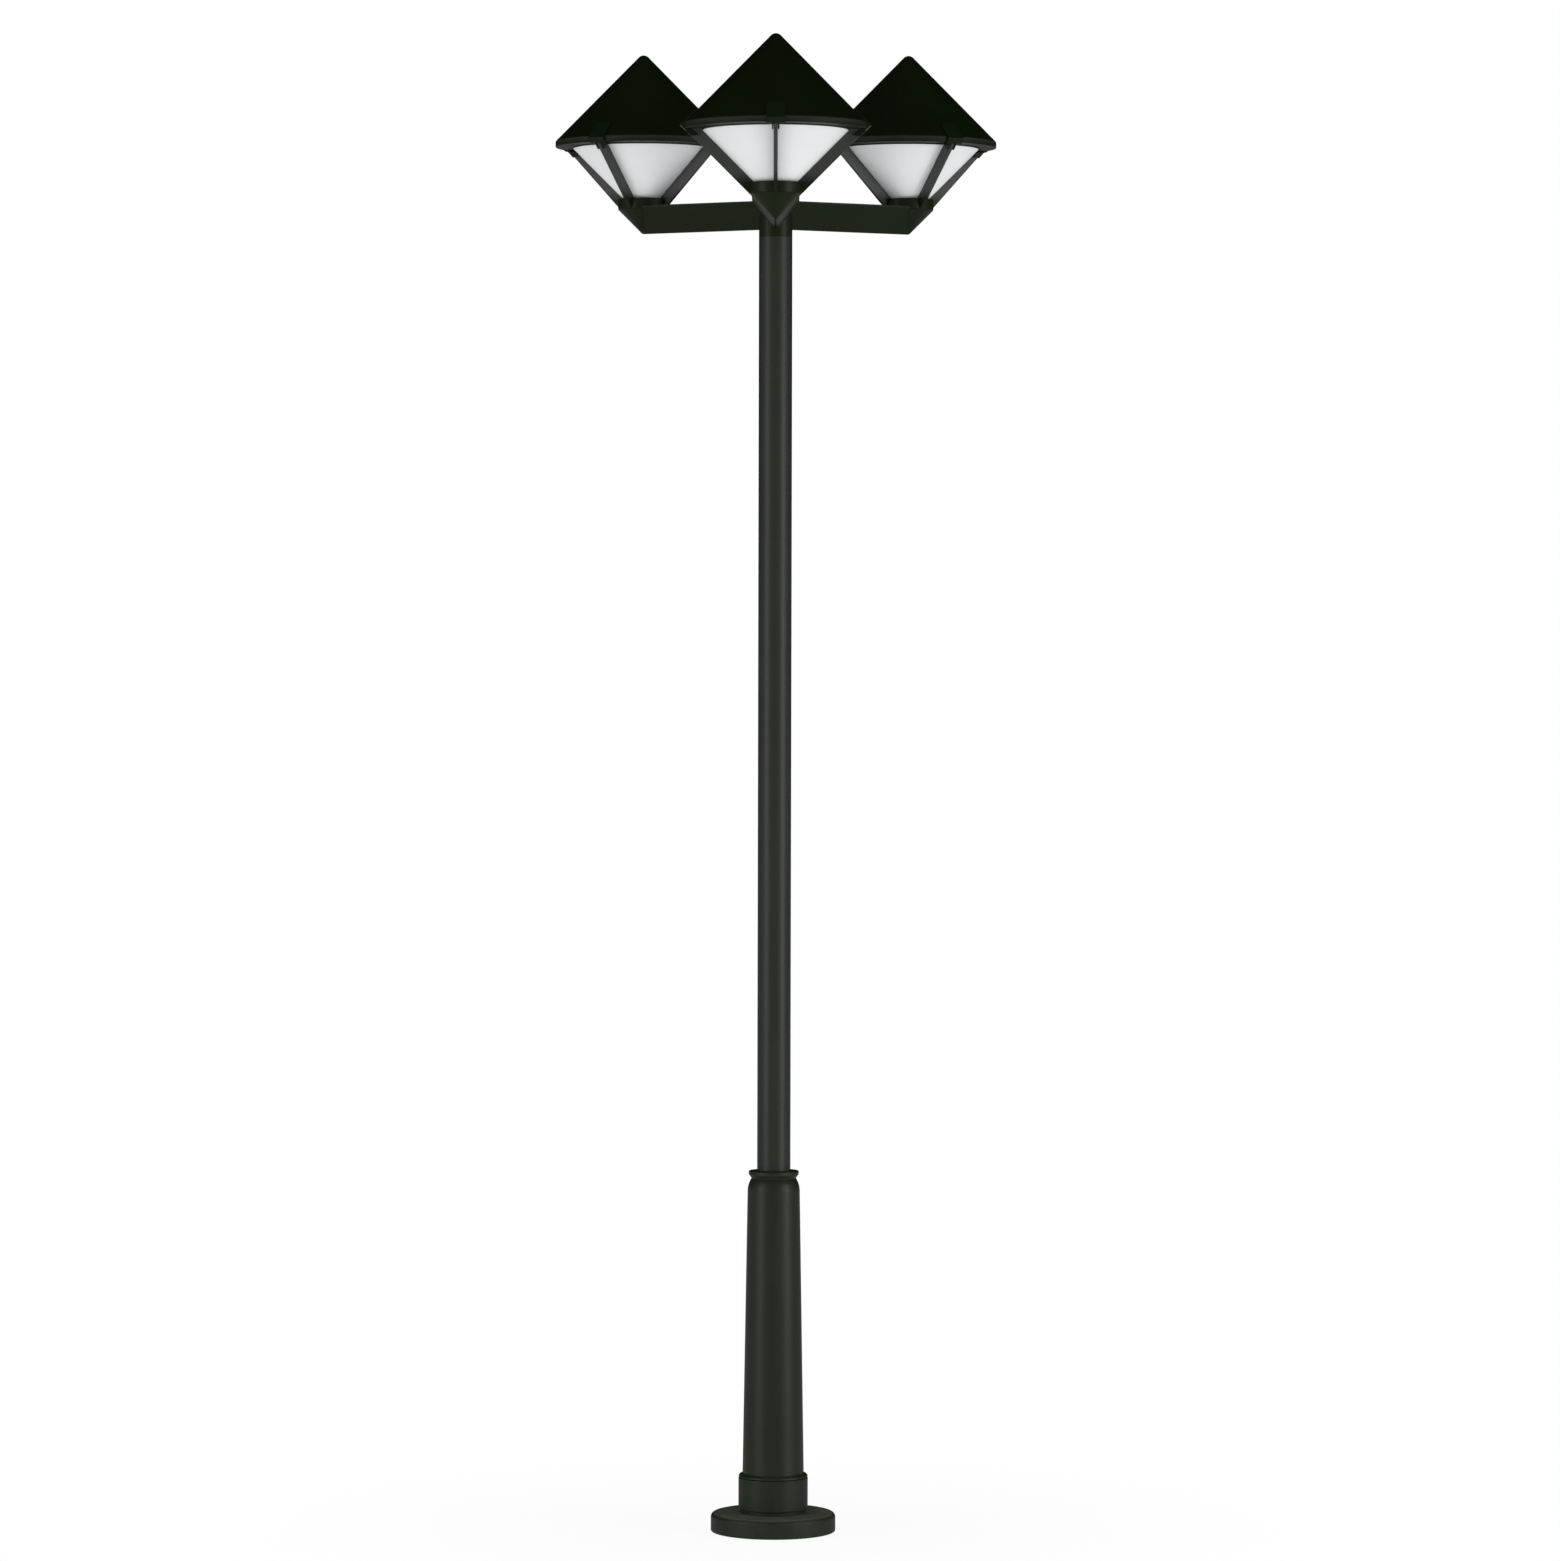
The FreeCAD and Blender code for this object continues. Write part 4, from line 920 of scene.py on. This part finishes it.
def makeFloor():
    # pale floor that fades to the white background some way off, with a soft shadow round the foot
    floorSizes = {"side": 60.0, "drop": 0.0005, "near": 0.25, "far": 1.1, "shadowShare": 0.10, "gloss": 0.34,
                  "dark": (0.83, 0.83, 0.82), "light": (0.85, 0.85, 0.84), "speckle": 30.0}
    mesh = bmesh.new()
    bmesh.ops.create_grid(mesh, x_segments=1, y_segments=1, size=floorSizes["side"] / 2)
    bmesh.ops.translate(mesh, verts=mesh.verts, vec=(0, 0, -floorSizes["drop"]))
    data = bpy.data.meshes.new("floor")
    mesh.to_mesh(data)
    mesh.free()
    floor = bpy.data.objects.new("floor", data)
    bpy.context.scene.collection.objects.link(floor)
    material, graph = newMaterial("floor_paint")
    speckle = graph.noise(floorSizes["speckle"], detail=2.0)
    tone = graph.mixed(speckle, shade(*floorSizes["dark"]), shade(*floorSizes["light"]))
    matt = graph.node("ShaderNodeBsdfDiffuse", {}, {"Color": tone})
    gloss = graph.ray("Glossy")
    level = floorSizes["gloss"]
    colour = graph.mixed(gloss, shade(1, 1, 1), shade(level, level, level))
    white = graph.node("ShaderNodeEmission", {}, {"Color": colour, "Strength": 1.0})
    away = graph.node("ShaderNodeVectorMath", {"operation": "LENGTH"}, {0: graph.place()}, "Value")
    near = (1 - (away - floorSizes["near"]) / (floorSizes["far"] - floorSizes["near"])).clamped()
    plain = (graph.ray("Camera") + graph.ray("Transmission")).clamped()
    seen = (plain * (1 - near * floorSizes["shadowShare"]) + gloss).clamped()
    graph.finish(graph.node("ShaderNodeMixShader", {}, {0: seen, 1: matt, 2: white}))
    data.materials.append(material)


def makeSky():
    # a soft light, weaker from behind, a dim horizon in the gloss, and plain white where the camera looks
    sky = {"soft": 0.95, "above": 0.02, "horizon": 0.25, "below": 0.34, "belowAt": 0.46, "horizonFrom": 0.52,
           "horizonTo": 0.60, "aboveAt": 0.74, "backSoft": 0.45, "backGloss": 0.97, "backSpread": 2.4}
    world = bpy.data.worlds.new("studio")
    bpy.context.scene.world = world
    world.use_nodes = True
    graph = Graph(world.node_tree)
    way = graph.node("ShaderNodeTexCoord", {}, {}, "Generated")
    height = graph.node("ShaderNodeSeparateXYZ", {}, {0: way}, "Z")
    behind = (graph.node("ShaderNodeSeparateXYZ", {}, {0: way}, "Y") * sky["backSpread"]).clamped()
    grey = [(place, shade(level, level, level)) for place, level in (
        (sky["belowAt"], sky["below"]), (sky["horizonFrom"], sky["horizon"]),
        (sky["horizonTo"], sky["horizon"]), (sky["aboveAt"], sky["above"]))]
    gradient = graph.node("ShaderNodeValToRGB", {"stops": grey}, {0: height * 0.5 + 0.5})
    soft = sky["soft"]
    gloss = graph.ray("Glossy")
    colour = graph.mixed(gloss, shade(soft, soft, soft), gradient)
    colour = graph.mixed(behind * (gloss * (sky["backGloss"] - sky["backSoft"]) + sky["backSoft"]), colour,
                         shade(0, 0, 0))
    plain = (graph.ray("Camera") + graph.ray("Transmission")).clamped()
    colour = graph.mixed(plain, colour, shade(1, 1, 1))
    studio = graph.node("ShaderNodeBackground", {}, {"Color": colour, "Strength": 1.0})
    graph.finish(studio, "ShaderNodeOutputWorld")


def makePanel(name, azimuth, power):
    # a soft panel on a circle round the post, facing its middle
    panel = {"lift": 1.4, "away": 4.2, "width": 1.5, "height": 3.0, "aim": 1.35}
    turn = math.radians(azimuth)
    data = bpy.data.lights.new(name, "AREA")
    data.shape = "RECTANGLE"
    data.size = panel["width"]
    data.size_y = panel["height"]
    data.energy = power
    lamp = bpy.data.objects.new(name, data)
    spot = Vector((math.sin(turn) * panel["away"], -math.cos(turn) * panel["away"], panel["lift"]))
    aim = Vector((0, 0, panel["aim"]))
    lamp.location = spot
    lamp.rotation_euler = (aim - spot).to_track_quat("-Z", "Y").to_euler()
    bpy.context.scene.collection.objects.link(lamp)


def makePanels():
    panels = {
        "left_panel": {"azimuth": -57.0, "power": 46.0},
        "right_panel": {"azimuth": 59.0, "power": 63.0},
    }
    for name, panel in panels.items():
        makePanel(name, panel["azimuth"], panel["power"])


def makeCamera():
    # the photograph's view, from a low and distant long lens
    view = {"away": 10.8, "height": 1.6355, "focalPixels": 6000.0, "tallPixels": 1561.0,
            "horizonRow": 625.0, "aside": 0.0098, "roll": 0.12, "sensor": 36.0, "clipEnd": 200.0}
    data = bpy.data.cameras.new("camera")
    data.sensor_width = view["sensor"]
    data.lens = view["focalPixels"] / view["tallPixels"] * data.sensor_width
    data.clip_end = view["clipEnd"]
    camera = bpy.data.objects.new("camera", data)
    down = math.atan((view["tallPixels"] / 2 - view["horizonRow"]) / view["focalPixels"])
    facing = Matrix.Rotation(math.pi / 2 - down, 4, "X")
    rolled = Matrix.Rotation(math.radians(view["roll"]), 4, "Z")
    camera.matrix_world = Matrix.Translation((view["aside"], -view["away"], view["height"])) @ facing @ rolled
    bpy.context.scene.collection.objects.link(camera)
    bpy.context.scene.camera = camera


makeCamera()
dressNodes()
makeLanterns()
makeWelds()
makeFoot()
makeFloor()
makeSky()
makePanels()
bpy.context.scene.view_settings.view_transform = "Standard"
print("floor, sky, panels and camera set")
